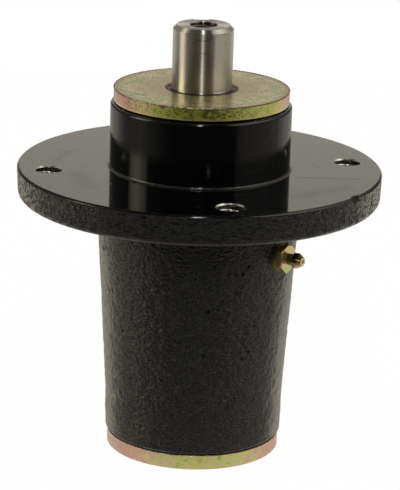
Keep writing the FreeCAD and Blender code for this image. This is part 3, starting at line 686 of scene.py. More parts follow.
slant = slant_of(tree)
# dust and painted sheen, stronger the more the casting is seen edge-on
dust_and_sheen = blend_colours(tree, on_rim, BARREL_DUST_SHEEN, RIM_DUST_SHEEN)
thick_dust_and_sheen = blend_colours(tree, on_rim, THICK_BARREL_DUST_SHEEN, THICK_RIM_DUST_SHEEN)
cast_colour = blend_colours(tree, ramp_between(tree, slant, 0.40, 0.74), CAST_BLACK, dust_and_sheen)
cast_colour = blend_colours(tree, ramp_between(tree, slant, 0.52, 0.76), cast_colour, thick_dust_and_sheen)
# painted shade in the hollows of the casting
cast_colour = blend_colours(tree, cavity, cast_colour, CAVITY_PAINTED_SHADE)
# painted highlight: a pale line along the flange's lower edge
ledge_highlight = product(tree, on_rim, ramp_between(tree, z, -11.4 * MM, -12.3 * MM))
cast_colour = blend_colours(tree, ledge_highlight, cast_colour, PAINTED_LEDGE_HIGHLIGHT)
colour = blend_colours(tree, cast_skin, TURNED_BLACK, cast_colour)
# painted shade inside the pits
colour = blend_colours(tree, pits, colour, PIT_PAINTED_SHADE)
colour = blend_colours(tree, product(tree, scratches, turned_skin), colour, SCRATCH_BROWN)
colour = blend_colours(tree, specks, colour, SPECK_GREY)
# painted shade in the broken place
colour = blend_colours(tree, broken, colour, BREAK_PAINTED_SHADE)
# painted shade on the steel of the holes and the bore below their mouths
shaded_depth = calc(tree, "LESS_THAN", z, -0.62 * MM)
bare_steel = blend_colours(tree, shaded_depth, MOUTH_STEEL, SHADED_DEEP_STEEL)
feed(tree, shader["Base Color"], blend_colours(tree, bare, colour, bare_steel))
feed(tree, shader["Metallic"], bare)
print("colour up to node", len(tree.nodes))

# %% [markdown]
# ### Gloss of the paint
#
# Roughness tells the two skins apart: low on the turned faces, higher on the casting. Scratches,
# wiped smudges and a slow haze dull the mirror a little. The barrel's foot and the broken place are
# nearly matt.

# %% Gloss of the paint
BARREL_FOOT = -114.9 * MM

cast_dull = total(tree, product(tree, sand, 0.10), product(tree, cavity, 0.35), 0.13)
cast_dull = product(tree, cast_dull, without(tree, pits, 0.7))
smudges = mark_mask(tree, point, FACE_SMUDGES)
haze = ramp_between(tree, noise(tree, point, 14.0 * MM, 4.0), 0.40, 0.70)
turned_dull = total(
    tree, product(tree, on_wall, 0.055), product(tree, scratches, 0.30),
    product(tree, smudges, 0.14), product(tree, haze, 0.05), 0.035,
)
dull = total(tree, product(tree, cast_dull, cast_skin), product(tree, turned_dull, turned_skin))
foot = calc(tree, "LESS_THAN", z, BARREL_FOOT)
for mask, roughness in ((foot, 0.6), (broken, 0.7), (bare, 0.24)):
    dull = calc(tree, "MAXIMUM", dull, product(tree, mask, roughness))
feed(tree, shader["Roughness"], dull)
print("housing paint with", len(tree.nodes), "nodes")

# %% [markdown]
# ## Turned steel
#
# The shaft was finished on a lathe and a grinder, so its marks run round it. Such marks smear a
# reflection along the shaft and keep it sharp around it, which is why the lamps show as straight
# lines from the shoulder to the end. The Principled shader does this with anisotropy, round a
# tangent that follows the turning. Rust specks and two fine scratches come on top, the sawn end is
# duller, and painted shade darkens the tapped hole and the journal inside.

# %% Shaft steel
SHAFT_MARKS = [
    # radius in mm, angle in degrees and height in mm of each end, then the width in mm
    ((12.7, -68.2, 56.8), (12.7, -56.9, 56.3), 0.25), ((12.7, -56.9, 56.3), (12.7, -45.8, 56.9), 0.30),
    ((12.7, -45.8, 56.9), (12.7, -40.2, 57.9), 0.25), ((12.7, -63.7, 51.4), (12.7, -54.4, 51.0), 0.20),
    ((12.7, -54.4, 51.0), (12.7, -45.0, 51.0), 0.22), ((12.7, -11.3, 54.7), (12.7, -11.3, 54.7), 0.40),
    ((12.7, -12.5, 47.1), (12.7, -12.5, 47.1), 0.35), ((12.7, 4.6, 53.7), (12.7, 4.6, 53.7), 0.40),
]
SHAFT_END = 60.6 * MM
THREAD_REACH = 5.8 * MM
JOURNAL_START = 12.75 * MM

steel, tree, shader = new_finish(
    "turned_steel", Metallic=1.0, Anisotropic=1.0, Anisotropic_Rotation=0.25,
)
point, x, y, z = place_of(tree)
tangent = tree.nodes.new("ShaderNodeTangent")
tangent.direction_type = "RADIAL"
tangent.axis = "Z"
tree.links.new(tangent.outputs[0], shader["Tangent"])
turning = noise(tree, point, 0.4 * MM, 3.0, stretch=(80, 80, 0.6))
stain = ramp_between(tree, noise(tree, point, 4.0 * MM, 3.0), 0.40, 0.6)
speck = product(tree, ramp_between(tree, noise(tree, point, 0.6 * MM, 2.0), 0.63, 0.72), stain)
speck = calc(tree, "MAXIMUM", speck, mark_mask(tree, point, SHAFT_MARKS))
colour = blend_colours(tree, turning, (0.60, 0.58, 0.53, 1), (0.67, 0.65, 0.60, 1))
colour = blend_colours(tree, speck, colour, (0.20, 0.14, 0.09, 1))
colour = blend_colours(tree, calc(tree, "GREATER_THAN", z, SHAFT_END), colour, (0.42, 0.41, 0.38, 1))
radius = length_of(tree, x, y)
in_thread = calc(tree, "LESS_THAN", radius, THREAD_REACH)
on_journal = calc(tree, "GREATER_THAN", radius, JOURNAL_START)
on_journal = product(tree, on_journal, calc(tree, "LESS_THAN", z, 35 * MM))
# painted shade inside the tapped hole and on the journal inside the housing
shaded = calc(tree, "MAXIMUM", in_thread, on_journal)
feed(tree, shader["Base Color"], blend_colours(tree, shaded, colour, (0.13, 0.12, 0.11, 1)))
dull = total(tree, product(tree, turning, 0.03), product(tree, on_journal, 0.3), 0.27)
feed(tree, shader["Roughness"], dull)
feed(tree, shader["Normal"], bump(tree, turning, 0.0025 * MM))
print("turned steel with", len(tree.nodes), "nodes")

# %% [markdown]
# ## Yellow zinc
#
# Zinc plate is dipped in chromate, which leaves a film so thin that it shows colours, as oil on
# water does: gold, green and pink in drifting patches. The colour changes with the slant of the
# view, and with the film's thickness. So a run of colours is read at the slant, and two noises,
# one of patches and one of crystals, shift the place in the run. A lean to one side makes up for
# the film that drained thicker there.

# %% Film of the zinc
FILM = [
    # how far along the run, then the colour
    (0.00, (0.36, 0.29, 0.07, 1)), (0.05, (0.66, 0.62, 0.11, 1)), (0.10, (0.64, 0.90, 0.12, 1)),
    (0.22, (0.84, 0.94, 0.20, 1)), (0.36, (0.96, 0.80, 0.44, 1)), (0.51, (0.96, 0.64, 0.46, 1)),
    (0.66, (0.92, 0.47, 0.38, 1)), (0.83, (0.90, 0.58, 0.50, 1)), (1.00, (0.88, 0.72, 0.65, 1)),
]
FITTING_FILM = [
    (0.00, (0.55, 0.40, 0.18, 1)), (0.16, (0.75, 0.58, 0.26, 1)), (0.30, (0.96, 0.84, 0.40, 1)),
    (0.44, (0.98, 0.80, 0.48, 1)), (0.58, (0.96, 0.66, 0.52, 1)), (0.72, (0.66, 0.92, 0.40, 1)),
    (0.90, (0.80, 0.92, 0.70, 1)),
]
SIDE_LEAN = 4.5
LOWER_LEAN = 0.17
CRYSTAL_SHARE = 0.9


def film_colour(tree, point, slant, lean, film_run, patch_mm, swing):
    """The run's colour at slant + lean + swing · patch noise + 0.9 · swing · crystal noise."""
    patch = calc(tree, "SUBTRACT", noise(tree, point, patch_mm * MM, 3.0), 0.5)
    crystal = calc(tree, "SUBTRACT", noise(tree, point, 0.9 * MM, 3.0), 0.5)
    shift = total(tree, slant, product(tree, patch, swing), product(tree, crystal, CRYSTAL_SHARE * swing))
    return colour_ramp(tree, total(tree, shift, lean), film_run)


print("two films of", len(FILM), "and", len(FITTING_FILM), "colours")

# %% [markdown]
# ### The discs' rims
#
# The rim of the upper disc shows its green and gold nearly head-on, with brown soil on the left and
# clean yellow patches on the right, and a painted highlight along its lower edge. The rim of the
# lower disc is paler as a whole.

# %% Rims of the discs
spacer_zinc, tree, shader = new_finish("yellow_zinc", Metallic=0.74)
point, x, y, z = place_of(tree)
leftward = leftward_of(tree, x, y)
slant = slant_of(tree)
upper = calc(tree, "GREATER_THAN", z, 20 * MM)
lower = calc(tree, "LESS_THAN", z, -100 * MM)
lean = total(tree, product(tree, leftward, SIDE_LEAN), product(tree, lower, LOWER_LEAN))
film = film_colour(tree, point, slant, lean, FILM, 2.4, 1.0)
film = blend_colours(tree, product(tree, lower, 0.16), film, (0.85, 0.76, 0.66, 1))
soil = ramp_between(tree, noise(tree, point, 0.8 * MM, 3.0), 0.52, 0.62)
soil = product(tree, soil, ramp_between(tree, z, 28.8 * MM, 30.5 * MM))
soil = product(tree, soil, ramp_from(tree, leftward, -34 * MM, -6 * MM))
film = blend_colours(tree, product(tree, soil, 0.75), film, (0.08, 0.06, 0.02, 1))
bright = product(tree, ramp_between(tree, noise(tree, point, 1.6 * MM, 3.0), 0.50, 0.62), upper)
bright = product(tree, bright, ramp_between(tree, slant, 0.50, 0.22))
film = blend_colours(tree, product(tree, bright, 0.7), film, (0.90, 1.0, 0.22, 1))
clean = product(tree, ramp_from(tree, leftward, -4 * MM, -18 * MM), upper)
clean = product(tree, clean, ramp_between(tree, slant, 0.42, 0.24))
film = blend_colours(tree, product(tree, clean, 0.36), film, (1.0, 0.98, 0.42, 1))
# painted highlight along the lower edge of the upper disc's rim
lit_edge = product(tree, ramp_between(tree, z, 29.6 * MM, 28.8 * MM), upper)
film = blend_colours(tree, product(tree, lit_edge, 0.7), film, (1.0, 0.95, 0.40, 1))
print("rims of the discs up to node", len(tree.nodes))

# %% [markdown]
# ### The upper disc's face
#
# Handling has rubbed the face, and dust lies on it. Clouds of grey gold and green cover it, fine
# rubbing breaks them up, and short scratches and a rust-red edge finish it. Round the shaft the
# face is darker, and painted shade blackens the narrow ring at the gap round the shaft.

# %% Face of the upper disc
SPACER_SCRATCHES = [
    # radius in mm, angle in degrees and height in mm of each end, then the width in mm
    ((34.8, -133.5, 33.8), (33.0, -128.8, 33.8), 0.9), ((32.0, -126.5, 33.8), (31.6, -125.0, 33.8), 0.8),
    ((30.9, -121.0, 33.8), (29.1, -112.7, 33.8), 0.6), ((29.1, -112.7, 33.8), (28.7, -108.2, 33.8), 0.8),
    ((24.8, -7.5, 33.8), (24.8, -7.5, 33.8), 0.9), ((28.6, 61.2, 33.8), (28.6, 61.2, 33.8), 0.9),
    ((31.8, -26.0, 33.8), (31.8, -22.4, 33.8), 0.5), ((26.8, -9.5, 33.8), (26.8, -7.1, 33.8), 0.5),
]
on_face = calc(tree, "GREATER_THAN", z, 33.75 * MM)
radius = length_of(tree, x, y)
cloud = ramp_between(tree, noise(tree, point, 5.0 * MM, 6.0), 0.40, 0.60)
rub = ramp_between(tree, noise(tree, point, 1.0 * MM, 3.0), 0.45, 0.60)
face = blend_colours(tree, cloud, (0.71, 0.57, 0.39, 1), (0.43, 0.48, 0.19, 1))
face = blend_colours(tree, ramp_between(tree, radius, 30 * MM, 18 * MM), face, (0.46, 0.39, 0.18, 1))
face = blend_colours(tree, ramp_between(tree, radius, 33.5 * MM, 36 * MM), face, (0.40, 0.36, 0.12, 1))
face = blend_colours(tree, product(tree, rub, 0.76), face, (0.24, 0.21, 0.09, 1))
rust = product(tree, ramp_between(tree, radius, 36.0 * MM, 36.4 * MM), rub)
face = blend_colours(tree, rust, face, (0.40, 0.10, 0.06, 1))
face = blend_colours(tree, mark_mask(tree, point, SPACER_SCRATCHES), face, (0.04, 0.035, 0.02, 1))
# painted shade in the narrow ring at the gap round the shaft
face = blend_colours(tree, calc(tree, "LESS_THAN", radius, 15.7 * MM), face, (0.06, 0.05, 0.04, 1))
feed(tree, shader["Base Color"], blend_colours(tree, on_face, film, face))
grain = noise(tree, point, 0.6 * MM, 2.0)
dull = total(tree, product(tree, grain, 0.12), product(tree, on_face, 0.10), 0.16)
feed(tree, shader["Roughness"], dull)
relief = product(tree, grain, total(tree, product(tree, upper, 0.9), 0.5), without(tree, on_face, 0.7))
feed(tree, shader["Normal"], bump(tree, relief, 0.10 * MM))
print("yellow zinc with", len(tree.nodes), "nodes")

# %% [markdown]
# ### Zinc of the grease fitting
#
# The fitting is turned and milled from one bar, and its small faces each caught another colour of
# the film: pink over green on the front of the hexagon and yellow-green on the collar below. The
# neck and the top of the head get painted shade. The distance out from the axis and the height tell
# those faces apart.

# %% Zinc of the fitting
HEX_FRONT = (45.3 * MM, 46.0 * MM)
NECK = (45.9 * MM, 48.0 * MM)
COLLAR_END = 43.0 * MM
HEAD_START, HEAD_END = 47.9 * MM, 51.2 * MM

fitting_zinc, tree, shader = new_finish("fitting_zinc", Metallic=0.74)
point, x, y, z = place_of(tree)
lean = product(tree, leftward_of(tree, x, y), SIDE_LEAN)
film = film_colour(tree, point, slant_of(tree), lean, FITTING_FILM, 2.6, 0.7)
outward = calc(tree, "ABSOLUTE", x)
front = window(tree, outward, *HEX_FRONT, 0.2 * MM)
pink = product(tree, window(tree, z, -34.4 * MM, -30.6 * MM, 3 * MM), front)
film = blend_colours(tree, product(tree, pink, 0.45), film, (0.98, 0.60, 0.46, 1))
green = product(tree, ramp_between(tree, z, -34.4 * MM, -36.4 * MM), front)
film = blend_colours(tree, product(tree, green, 0.62), film, (0.55, 0.92, 0.34, 1))
collar = calc(tree, "LESS_THAN", outward, COLLAR_END)
collar = product(tree, collar, ramp_between(tree, z, -34.5 * MM, -36.5 * MM))
film = blend_colours(tree, collar, film, (0.92, 1.0, 0.34, 1))
on_head = calc(tree, "GREATER_THAN", outward, HEAD_START)
on_head = product(tree, on_head, calc(tree, "LESS_THAN", outward, HEAD_END))
# painted shade on the top of the head and on the neck
neck_and_head_shade = product(tree, on_head, ramp_between(tree, z, -32.9 * MM, -32.1 * MM))
neck_and_head_shade = calc(tree, "MAXIMUM", neck_and_head_shade, product(tree, window(tree, outward, *NECK, 0.5 * MM), 0.8))
film = blend_colours(tree, product(tree, neck_and_head_shade, 0.9), film, (0.05, 0.03, 0.02, 1))
feed(tree, shader["Base Color"], film)
grain = noise(tree, point, 0.6 * MM, 2.0)
feed(tree, shader["Roughness"], total(tree, product(tree, grain, 0.12), 0.15))
feed(tree, shader["Normal"], bump(tree, grain, 0.006 * MM))
print("fitting's zinc with", len(tree.nodes), "nodes")

# %% [markdown]
# ## Finishes of the pieces inside
#
# The bearings, seals and springs sit inside the housing, and show when someone opens the model.

# %% Inner finishes


def plain_metal(name, colour, roughness, grain_mm):
    """A metal with fine grains in its colour and in its gloss."""
    material, tree, shader = new_finish(name, Metallic=1.0)
    point, x, y, z = place_of(tree)
    fine = noise(tree, point, grain_mm * MM, 3.0)
    dark = tuple(0.8 * c for c in colour)
    feed(tree, shader["Base Color"], blend_colours(tree, fine, (*dark, 1), (*colour, 1)))
    feed(tree, shader["Roughness"], total(tree, product(tree, fine, 0.12), roughness))
    feed(tree, shader["Normal"], bump(tree, fine, 0.004 * MM))
    return material


rubber, tree, shader = new_finish("seal_rubber", Roughness=0.55)
point, x, y, z = place_of(tree)
bloom = noise(tree, point, 3.0 * MM, 3.0)
colour = blend_colours(tree, bloom, (0.012, 0.012, 0.012, 1), (0.03, 0.03, 0.028, 1))
feed(tree, shader["Base Color"], colour)
feed(tree, shader["Normal"], bump(tree, noise(tree, point, 0.5 * MM), 0.01 * MM))
print("rubber with", len(tree.nodes), "nodes")

# %% [markdown]
# ### Dress the solids
#
# The record of the part names a material slot for each solid. One dictionary from slot to finish
# dresses all of them, so no solid is forgotten and equal pieces look alike.

# %% Finishes by slot
finishes = {
    "housing_paint": paint,
    "turned_steel": steel,
    "yellow_zinc": spacer_zinc,
    "fitting_zinc": fitting_zinc,
    "bearing_steel": plain_metal("bearing_steel", (0.62, 0.61, 0.60), 0.12, 1.5),
    "cage_steel": plain_metal("cage_steel", (0.42, 0.41, 0.39), 0.30, 1.0),
    "tube_steel": plain_metal("tube_steel", (0.45, 0.44, 0.42), 0.35, 2.0),
    "seal_case_steel": plain_metal("seal_case_steel", (0.40, 0.40, 0.41), 0.28, 1.2),
    "seal_rubber": rubber,
    "spring_steel": plain_metal("spring_steel", (0.55, 0.54, 0.52), 0.25, 0.6),
}
slot_of = {part["node"]: part["material_slot"] for part in frame["record"]["subparts"]}
for name, solid in nodes.items():
    solid.data.materials.clear()
    solid.data.materials.append(finishes[slot_of[name]])
print("dressed", len(nodes), "solids in", len(finishes), "finishes")

# %% [markdown]
# ## Pieces too fine for the construction
#
# The screw threads, the check spring, the paint in the corner of the hub and the burrs on the discs
# are all the same kind of thing: a small section that travels along a path. Each is an array with
# one row of points for each place along the path, and one function turns such an array into a
# closed mesh. A second one sets sections round the part's axis, as a lathe would.

# %% Closed mesh from an array of sections


def swept(name, rows, ring, material, body):
    """A mesh from rows of section points; a ring joins its last row to its first, else ends are capped.
    It rides the body that is named, or none yet."""
    count, around = rows.shape[:2]
    here = np.arange(count if ring else count - 1)[:, None] * around + np.arange(around)[None, :]
    beside = (here // around) * around + (here % around + 1) % around
    ahead_here = (here + around) % (count * around)
    ahead_beside = (beside + around) % (count * around)
    quads = np.stack([here, beside, ahead_beside, ahead_here], -1).reshape(-1, 4)
    points = rows.reshape(-1, 3)
    a, b, c, d = (points[quads[:, k]] for k in range(4))
    volume = (np.einsum("ij,ij->i", a, np.cross(b, c)) + np.einsum("ij,ij->i", a, np.cross(c, d))).sum()
    faces = quads.tolist()
    if not ring:
        faces += [list(range(around))[::-1], list(range((count - 1) * around, count * around))]
    if volume < 0:
        faces = [face[::-1] for face in faces]
    mesh = bpy.data.meshes.new(name)
    mesh.from_pydata(points.tolist(), [], faces)
    mesh.shade_smooth()
    mesh.materials.append(material)
    made = bpy.data.objects.new(name, mesh)
    bpy.context.scene.collection.objects.link(made)
    if body:
        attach(made, body)
    return made


def round_the_axis(angle, radii, heights):
    """Rows of points in metres: the section of radii and heights in mm, turned by each angle in turn."""
    angle, radii, heights = np.broadcast_arrays(angle[:, None], radii, heights)
    return np.stack([radii * np.cos(angle), radii * np.sin(angle), heights], -1) * MM


def slow_wave(angle, waves, seed):
    """A smooth random value round the ring: a sum of sines, each with a whole number of periods."""
    dice = np.random.default_rng(seed)
    phase = dice.uniform(0, 2 * math.pi, len(waves))
    weight = dice.uniform(0.5, 1.0, len(waves))
    sines = np.sin(np.array(waves)[:, None] * angle + phase[:, None])
    return (weight[:, None] * sines).sum(0) / weight.sum()


print("sweeper ready")

# %% [markdown]
# ### Screw threads
#
# The construction leaves each tapped hole as a plain bore at the root of its thread. The ridge that
# a tap leaves standing is added here: a flat-topped triangle of 60 degrees that climbs by one pitch
# a turn. It runs in from nothing over less than half a turn, as the lead of the tap does.

# %% Threads in the flange and in the shaft
STEPS_A_TURN = 56
CREST_HEIGHT = 0.54
RUN_IN_TURNS = 0.4
# how high the ridge's section reaches at its foot and at its crest, as shares of the pitch
RIDGE_HALVES = np.array([-0.45, -0.125, 0.125, 0.45])
NARROWEST = 0.35
SUNK = 0.06
# heights in mm between which each ridge climbs
FLANGE_CLIMB = (-12.3, -1.5)
COARSE_ROOT, COARSE_PITCH = 5.555, 1.814
BLADE_ROOT, BLADE_PITCH = 6.35, 1.954


def thread_ridge(name, centre, root_mm, pitch_mm, low_mm, high_mm, body, material):
    """A helix of one ridge: the angle grows with the height, and the crest rises in and sinks out."""
    turns = (high_mm - low_mm) / pitch_mm
    share = np.linspace(0, 1, int(turns * STEPS_A_TURN) + 1)
    angle = 2 * math.pi * turns * share
    middle = low_mm + (high_mm - low_mm) * share
    ease = np.clip(np.minimum(share, 1 - share) * turns / RUN_IN_TURNS, 0.02, 1)
    crest = root_mm - CREST_HEIGHT * pitch_mm * ease
    base = np.full_like(crest, root_mm + SUNK)
    radii = np.stack([base, crest, crest, base], 1)
    halves = RIDGE_HALVES * pitch_mm
    heights = middle[:, None] + halves[None, :] * (NARROWEST + (1 - NARROWEST) * ease[:, None])
    rows = np.stack([
        centre[0] + radii * np.cos(angle)[:, None],
        centre[1] + radii * np.sin(angle)[:, None],
        heights,
    ], -1) * MM
    return swept(name, rows, False, material, body)


bright_thread = plain_metal("thread_steel", (0.66, 0.65, 0.62), 0.20, 0.6)
# the threads inside the shaft's holes are darker steel: painted shade in the holes
shaded_thread = plain_metal("shaded_thread_steel", (0.20, 0.19, 0.17), 0.45, 0.6)
ridges = []
for number, (sx, sy) in enumerate([(1, 1), (-1, 1), (-1, -1), (1, -1)], 1):
    name = f"flange_thread_{number}"
    centre = np.array([sx, sy]) * HOLE_CIRCLE / MM * math.sqrt(0.5)
    ridge = thread_ridge(name, centre, COARSE_ROOT, COARSE_PITCH, *FLANGE_CLIMB, "housing", bright_thread)
    ridges.append(ridge)
for name, root, pitch, low, high in (
    ("shaft_end_thread", COARSE_ROOT, COARSE_PITCH, 36.5, 59.4),
    ("blade_bolt_thread", BLADE_ROOT, BLADE_PITCH, -104.0, -69.0),
):
    ridges.append(thread_ridge(name, (0, 0), root, pitch, low, high, "rotor", shaded_thread))
print(len(ridges), "thread ridges,", sum(len(o.data.polygons) for o in ridges), "faces")

# %% [markdown]
# ### The spring behind the check ball
#
# A grease gun pushes the check ball in, and its spring gets shorter. Here the spring is wound again
# as a mesh in place of the solid, which is hidden: a circle carried along a helix.

# %% Check spring wound as a mesh
WIRE_RADIUS = 0.18
COILS = 6
STEPS_A_COIL = 36
WIRE_SIDES = 8

spring_low, spring_high = (np.array(corner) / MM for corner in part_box("grease_fitting_spring"))
spring_length = float(spring_high[0] - spring_low[0])
coil_radius = (spring_high[1] - spring_low[1]) / 2 - WIRE_RADIUS
spring_z = (spring_high[2] + spring_low[2]) / 2
share = np.linspace(0, 1, COILS * STEPS_A_COIL + 1)[:, None]
wound = 2 * math.pi * COILS * share
round_wire = np.linspace(0, 2 * math.pi, WIRE_SIDES, endpoint=False)[None, :]
along = spring_low[0] + WIRE_RADIUS + share * (spring_length - 2 * WIRE_RADIUS)
reach = coil_radius + WIRE_RADIUS * np.cos(round_wire)
rows = np.stack([
    along + WIRE_RADIUS * np.sin(round_wire),
    reach * np.cos(wound),
    spring_z + reach * np.sin(wound),
], -1) * MM
check_spring = swept("check_spring_coils", rows, False, finishes["spring_steel"], None)
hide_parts("grease_fitting_spring")
pitch = spring_length / COILS
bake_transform(check_spring)
print("check spring of", round(spring_length, 2), "mm with a pitch of", round(pitch, 2), "mm")

# %% [markdown]
# ### Paint in the corner of the hub
#
# Wet paint gathers in a corner. Round the foot of the hub it dried to a small hollow bead, and that
# bead carries the bright line that parts the hub from its own reflection in the flange.

# %% Paint bead at the hub's foot
HUB_RADIUS = 38.1
BEAD_SIZE = 0.9
BEAD_SINKS = -0.15

angle = np.linspace(0, 2 * math.pi, 720, endpoint=False)
bead = BEAD_SIZE * (1 + 0.22 * slow_wave(angle, [3, 7, 11, 19, 31, 47], 3))
sweep = np.linspace(0, math.pi / 2, 9)
across = np.concatenate([1 - np.sin(sweep), [BEAD_SINKS, BEAD_SINKS]])
upwards = np.concatenate([1 - np.cos(sweep), [1.0, BEAD_SINKS]])
rows = round_the_axis(angle, HUB_RADIUS + bead[:, None] * across, bead[:, None] * upwards)
bead_paint, tree, shader = new_finish("bead_paint", IOR=1.5)
point, x, y, z = place_of(tree)
ripple = noise(tree, point, 1.5 * MM, 2.0)
colour = blend_colours(tree, ripple, (0.004, 0.004, 0.005, 1), (0.03, 0.028, 0.024, 1))
feed(tree, shader["Base Color"], colour)
feed(tree, shader["Roughness"], total(tree, product(tree, ripple, 0.15), 0.10))
feed(tree, shader["Normal"], bump(tree, ripple, 0.06 * MM))
corner_paint = swept("hub_corner_paint", rows, True, bead_paint, "housing")
print("paint bead of", round(float(bead.min()), 2), "to", round(float(bead.max()), 2), "mm,",
      len(corner_paint.data.polygons), "faces")

# %% [markdown]
# ### The cast skin of the barrel
#
# Sand leaves real relief on iron, and it shows where the barrel's side meets the light. The relief
# is a field of random numbers, blurred to the size of the grains by a Fourier filter, so that it
# closes without a seam. It stands a little proud of the turned cone and sinks into it at both ends
# and round the seat of the grease fitting.

# %% Relief of the barrel's skin
SKIN_TOP = -17.6
SKIN_BOTTOM = -113.6
MEAN_RADIUS = 40.5
SKIN_LIFT = 0.24
# spread of the relief and size of its grains, in mm, and the seed of its random numbers
RELIEF_LAYERS = [(0.045, 0.8, 21), (0.03, 2.6, 22), (0.03, 11.0, 23)]
PIT_DEPTH = 0.20


def blurred_field(shape, spacing_mm, size_mm, seed):
    """Random numbers times a bell curve in frequency, scaled to a spread of 1: grains of one size."""
    start = np.fft.fft2(np.random.default_rng(seed).standard_normal(shape))
    down = np.fft.fftfreq(shape[0], spacing_mm[0])[:, None]
    along = np.fft.fftfreq(shape[1], spacing_mm[1])[None, :]
    field = np.real(np.fft.ifft2(start * np.exp(-(down**2 + along**2) * (size_mm * 2.2) ** 2)))
    return field / field.std()


angle = np.linspace(0, 2 * math.pi, 520, endpoint=False)
z_mm = np.linspace(SKIN_BOTTOM, SKIN_TOP, 184)
shape = (len(angle), len(z_mm))
spacing = (2 * math.pi * MEAN_RADIUS / len(angle), z_mm[1] - z_mm[0])
relief = np.full(shape, SKIN_LIFT)
for spread, size, seed in RELIEF_LAYERS:
    relief = relief + spread * blurred_field(shape, spacing, size, seed)
for pit_angle, pit_z, pit_mm in PITS:
    round_to_pit = (angle - math.radians(pit_angle) + math.pi) % (2 * math.pi) - math.pi
    to_pit = np.hypot(round_to_pit[:, None] * barrel_radius(pit_z), z_mm[None, :] - pit_z)
    relief = relief - PIT_DEPTH * np.exp(-(to_pit / pit_mm) ** 2)
print("relief with a spread of", round(float(relief.std()), 3), "mm")

# %% [markdown]
# ### Where the skin ends
#
# The skin fades into the solid at both ends of the barrel, and it dives under the flat seat of the
# grease fitting. Its inner wall runs straight down inside the casting, so the piece is closed.

# %% Cast skin as a piece
SEAT_HEIGHT = -32.3
SEAT_RADIUS_OUT = 41.5
END_FADE = 7.0
SEAT_FADE = (8.3, 2.5)
SEAT_DIVE = (9.6, 1.6, 1.2)
EDGE_DIVE = 0.25
SKIN_WALL = 1.6

to_end = np.minimum(z_mm - SKIN_BOTTOM, SKIN_TOP - z_mm)
across_seat = np.abs((angle[:, None] + math.pi) % (2 * math.pi) - math.pi) * SEAT_RADIUS_OUT
to_seat = np.hypot(across_seat, z_mm[None, :] - SEAT_HEIGHT)
fade = np.clip(to_end / END_FADE, 0, 1)[None, :] * np.clip((to_seat - SEAT_FADE[0]) / SEAT_FADE[1], 0, 1)
dive_start, dive_width, dive_depth = SEAT_DIVE
sunk = -dive_depth * np.clip((dive_start - to_seat) / dive_width, 0, 1)
skin = barrel_radius(z_mm)[None, :] + relief * fade + sunk - EDGE_DIVE * (fade < 0.02)
inner = barrel_radius(z_mm[[-1, 0]])[None, :] - SKIN_WALL + np.zeros((len(angle), 2))
radii = np.concatenate([skin, inner], 1)
rows = round_the_axis(angle, radii, np.concatenate([z_mm, z_mm[[-1, 0]]]))
cast_skin_piece = swept("barrel_cast_skin", rows, True, paint, "housing")
print("cast skin of", 2 * len(cast_skin_piece.data.polygons), "triangles")

# %% [markdown]
# ### The burrs on the discs' edges
#
# The discs were punched from plate, and the punch left a ragged burr round the upper edge of each.
# It is a thin ring of small lumps. The plating is worn off its tops, and white is painted on them as
# glints as well, in a band from just right of the axis to its left, with rust-red film between. The
# upper disc's burr is the coarser one, and the lower disc's makes the row of white sparks under the
# barrel.

# %% Finish of the burrs
burr_zinc, tree, shader = new_finish("burr_zinc")
point, x, y, z = place_of(tree)
# worn plating and painted glints: white on the lumps' tops in a band across the front
worn_and_glint = ramp_between(tree, noise(tree, point, 1.1 * MM, 2.0), 0.42, 0.56)
worn_and_glint = product(tree, worn_and_glint, window(tree, leftward_of(tree, x, y), -8 * MM, 30 * MM, 6 * MM))
feed(tree, shader["Base Color"], blend_colours(tree, worn_and_glint, (0.30, 0.13, 0.08, 1), (0.95, 0.92, 0.88, 1)))
feed(tree, shader["Metallic"], total(tree, product(tree, worn_and_glint, -0.55), 0.9))
feed(tree, shader["Roughness"], total(tree, product(tree, worn_and_glint, -0.18), 0.34))
feed(tree, shader["Normal"], bump(tree, noise(tree, point, 0.5 * MM, 2.0), 0.5 * MM))
print("burr's finish with", len(tree.nodes), "nodes")

# %% [markdown]
# ### Two rings of lumps
#
# The lumps come from a slow wave times a quick one, so that they gather in groups, as a worn punch
# leaves them. Each ring has a round section whose size follows that value.

# %% Burrs of both discs
UPPER_EDGE = (36.66, 33.68)
LOWER_EDGE = (36.72, -116.72)
BURR_SIDES = 8


def burr_ring(name, angle, edge_radius, edge_z, burr):
    """A ring of round sections: edge radius + burr · cosine, and edge height + burr · sine."""
    sweep = np.linspace(0, 2 * math.pi, BURR_SIDES, endpoint=False)
    radii = edge_radius + burr[:, None] * np.cos(sweep)
    heights = edge_z + burr[:, None] * np.sin(sweep)
    return swept(name, round_the_axis(angle, radii, heights), True, burr_zinc, "rotor")


angle = np.linspace(0, 2 * math.pi, 2400, endpoint=False)
ragged = 0.5 + 0.5 * slow_wave(angle, [7, 23], 11) * slow_wave(angle, [211, 263, 331, 397], 12)
upper_reach = UPPER_EDGE[0] + 0.06 * ragged[:, None]
upper_burr = burr_ring("upper_spacer_burr", angle, upper_reach, UPPER_EDGE[1], 0.18 + 0.14 * ragged)
angle = np.linspace(0, 2 * math.pi, 1800, endpoint=False)
ragged = 0.5 + 0.5 * slow_wave(angle, [5, 17], 21) * slow_wave(angle, [173, 229, 281], 22)
lower_burr = burr_ring("lower_spacer_burr", angle, *LOWER_EDGE, 0.08 + 0.12 * ragged)
print("burrs of", [len(o.data.polygons) for o in (upper_burr, lower_burr)], "faces")

# %% [markdown]
# ### Paint round the turned edges
#
# No edge is sharp under paint: the wet coat draws round it, and its side view is a small arc. That
# arc carries a thin bright line all round the flange and the hub, which flat facets can't give. On
# the flange the ring dips out of sight for a few degrees, where the edge is broken out.

# %% Paint round the flange's chamfer
FLANGE_RADIUS = 76.9
CHAMFER = 0.88
CHAMFER_START = (76.88, -0.92)
CHAMFER_RISE = 0.90
HIGHEST = -0.005
CHIP_ANGLE = -0.2
CHIP_HALF_WIDTH = 1.6
CHIP_DIP = (2.2, 3.2)

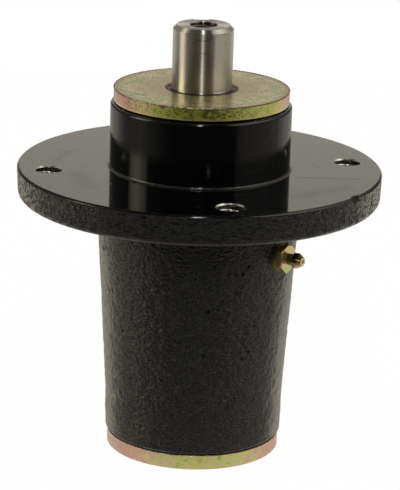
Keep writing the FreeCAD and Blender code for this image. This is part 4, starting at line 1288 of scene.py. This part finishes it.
angle = np.linspace(0, 2 * math.pi, 720, endpoint=False)
along = np.linspace(0, 1, 9)
lift = 0.07 * np.sin(math.pi * along) + 0.01
arc_radii = CHAMFER_START[0] - CHAMFER * along + lift * math.sqrt(0.5)
arc_radii = np.minimum(np.concatenate([arc_radii, [75.9, 76.6]]), FLANGE_RADIUS)
arc_heights = CHAMFER_START[1] + CHAMFER_RISE * along + lift * math.sqrt(0.5)
arc_heights = np.minimum(np.concatenate([arc_heights, [-0.25, -1.0]]), HIGHEST)
radii = arc_radii[None, :] - 0.02 * (1 + slow_wave(angle, [9, 23, 41, 67], 31))[:, None]
chip_gap = np.abs((np.degrees(angle) - CHIP_ANGLE + 180) % 360 - 180) < CHIP_HALF_WIDTH
radii = radii - CHIP_DIP[0] * chip_gap[:, None]
heights = arc_heights[None, :] - CHIP_DIP[1] * chip_gap[:, None]
edge_paint, tree, shader = new_finish("edge_paint", IOR=1.5)
point, x, y, z = place_of(tree)
ripple = noise(tree, point, 2.5 * MM, 2.0)
colour = blend_colours(tree, ripple, (0.001, 0.001, 0.002, 1), (0.003, 0.003, 0.004, 1))
feed(tree, shader["Base Color"], colour)
feed(tree, shader["Roughness"], total(tree, product(tree, ripple, 0.05), 0.08))
feed(tree, shader["Normal"], bump(tree, ripple, 0.004 * MM))
rows = round_the_axis(angle, radii, heights)
flange_edge = swept("flange_edge_paint", rows, True, edge_paint, "housing")
print("flange's edge with", len(flange_edge.data.polygons), "faces")

# %% [markdown]
# ### Paint round the hub's upper edge
#
# The hub's edge is rounded with a radius of 1.2 mm. A ring a fortieth of a millimetre larger lies
# over it, smooth where the solid has facets.

# %% Paint round the hub's edge
EDGE_CENTRE = (36.9, 26.3)
EDGE_RADIUS = 1.225

bend = np.linspace(math.radians(-4), math.radians(94), 15)
arc_radii = np.concatenate([EDGE_CENTRE[0] + EDGE_RADIUS * np.cos(bend), [36.6, 37.6]])
arc_heights = np.concatenate([EDGE_CENTRE[1] + EDGE_RADIUS * np.sin(bend), [27.2, 25.9]])
rows = round_the_axis(angle, arc_radii, arc_heights)
hub_edge = swept("hub_edge_paint", rows, True, edge_paint, "housing")
print("hub's edge with", len(hub_edge.data.polygons), "faces")

# %% [markdown]
# ## Close the lesson
#
# The Standard view shows the light as it is, without a film's curve.

# %% Close the lesson
bpy.context.scene.view_settings.view_transform = "Standard"
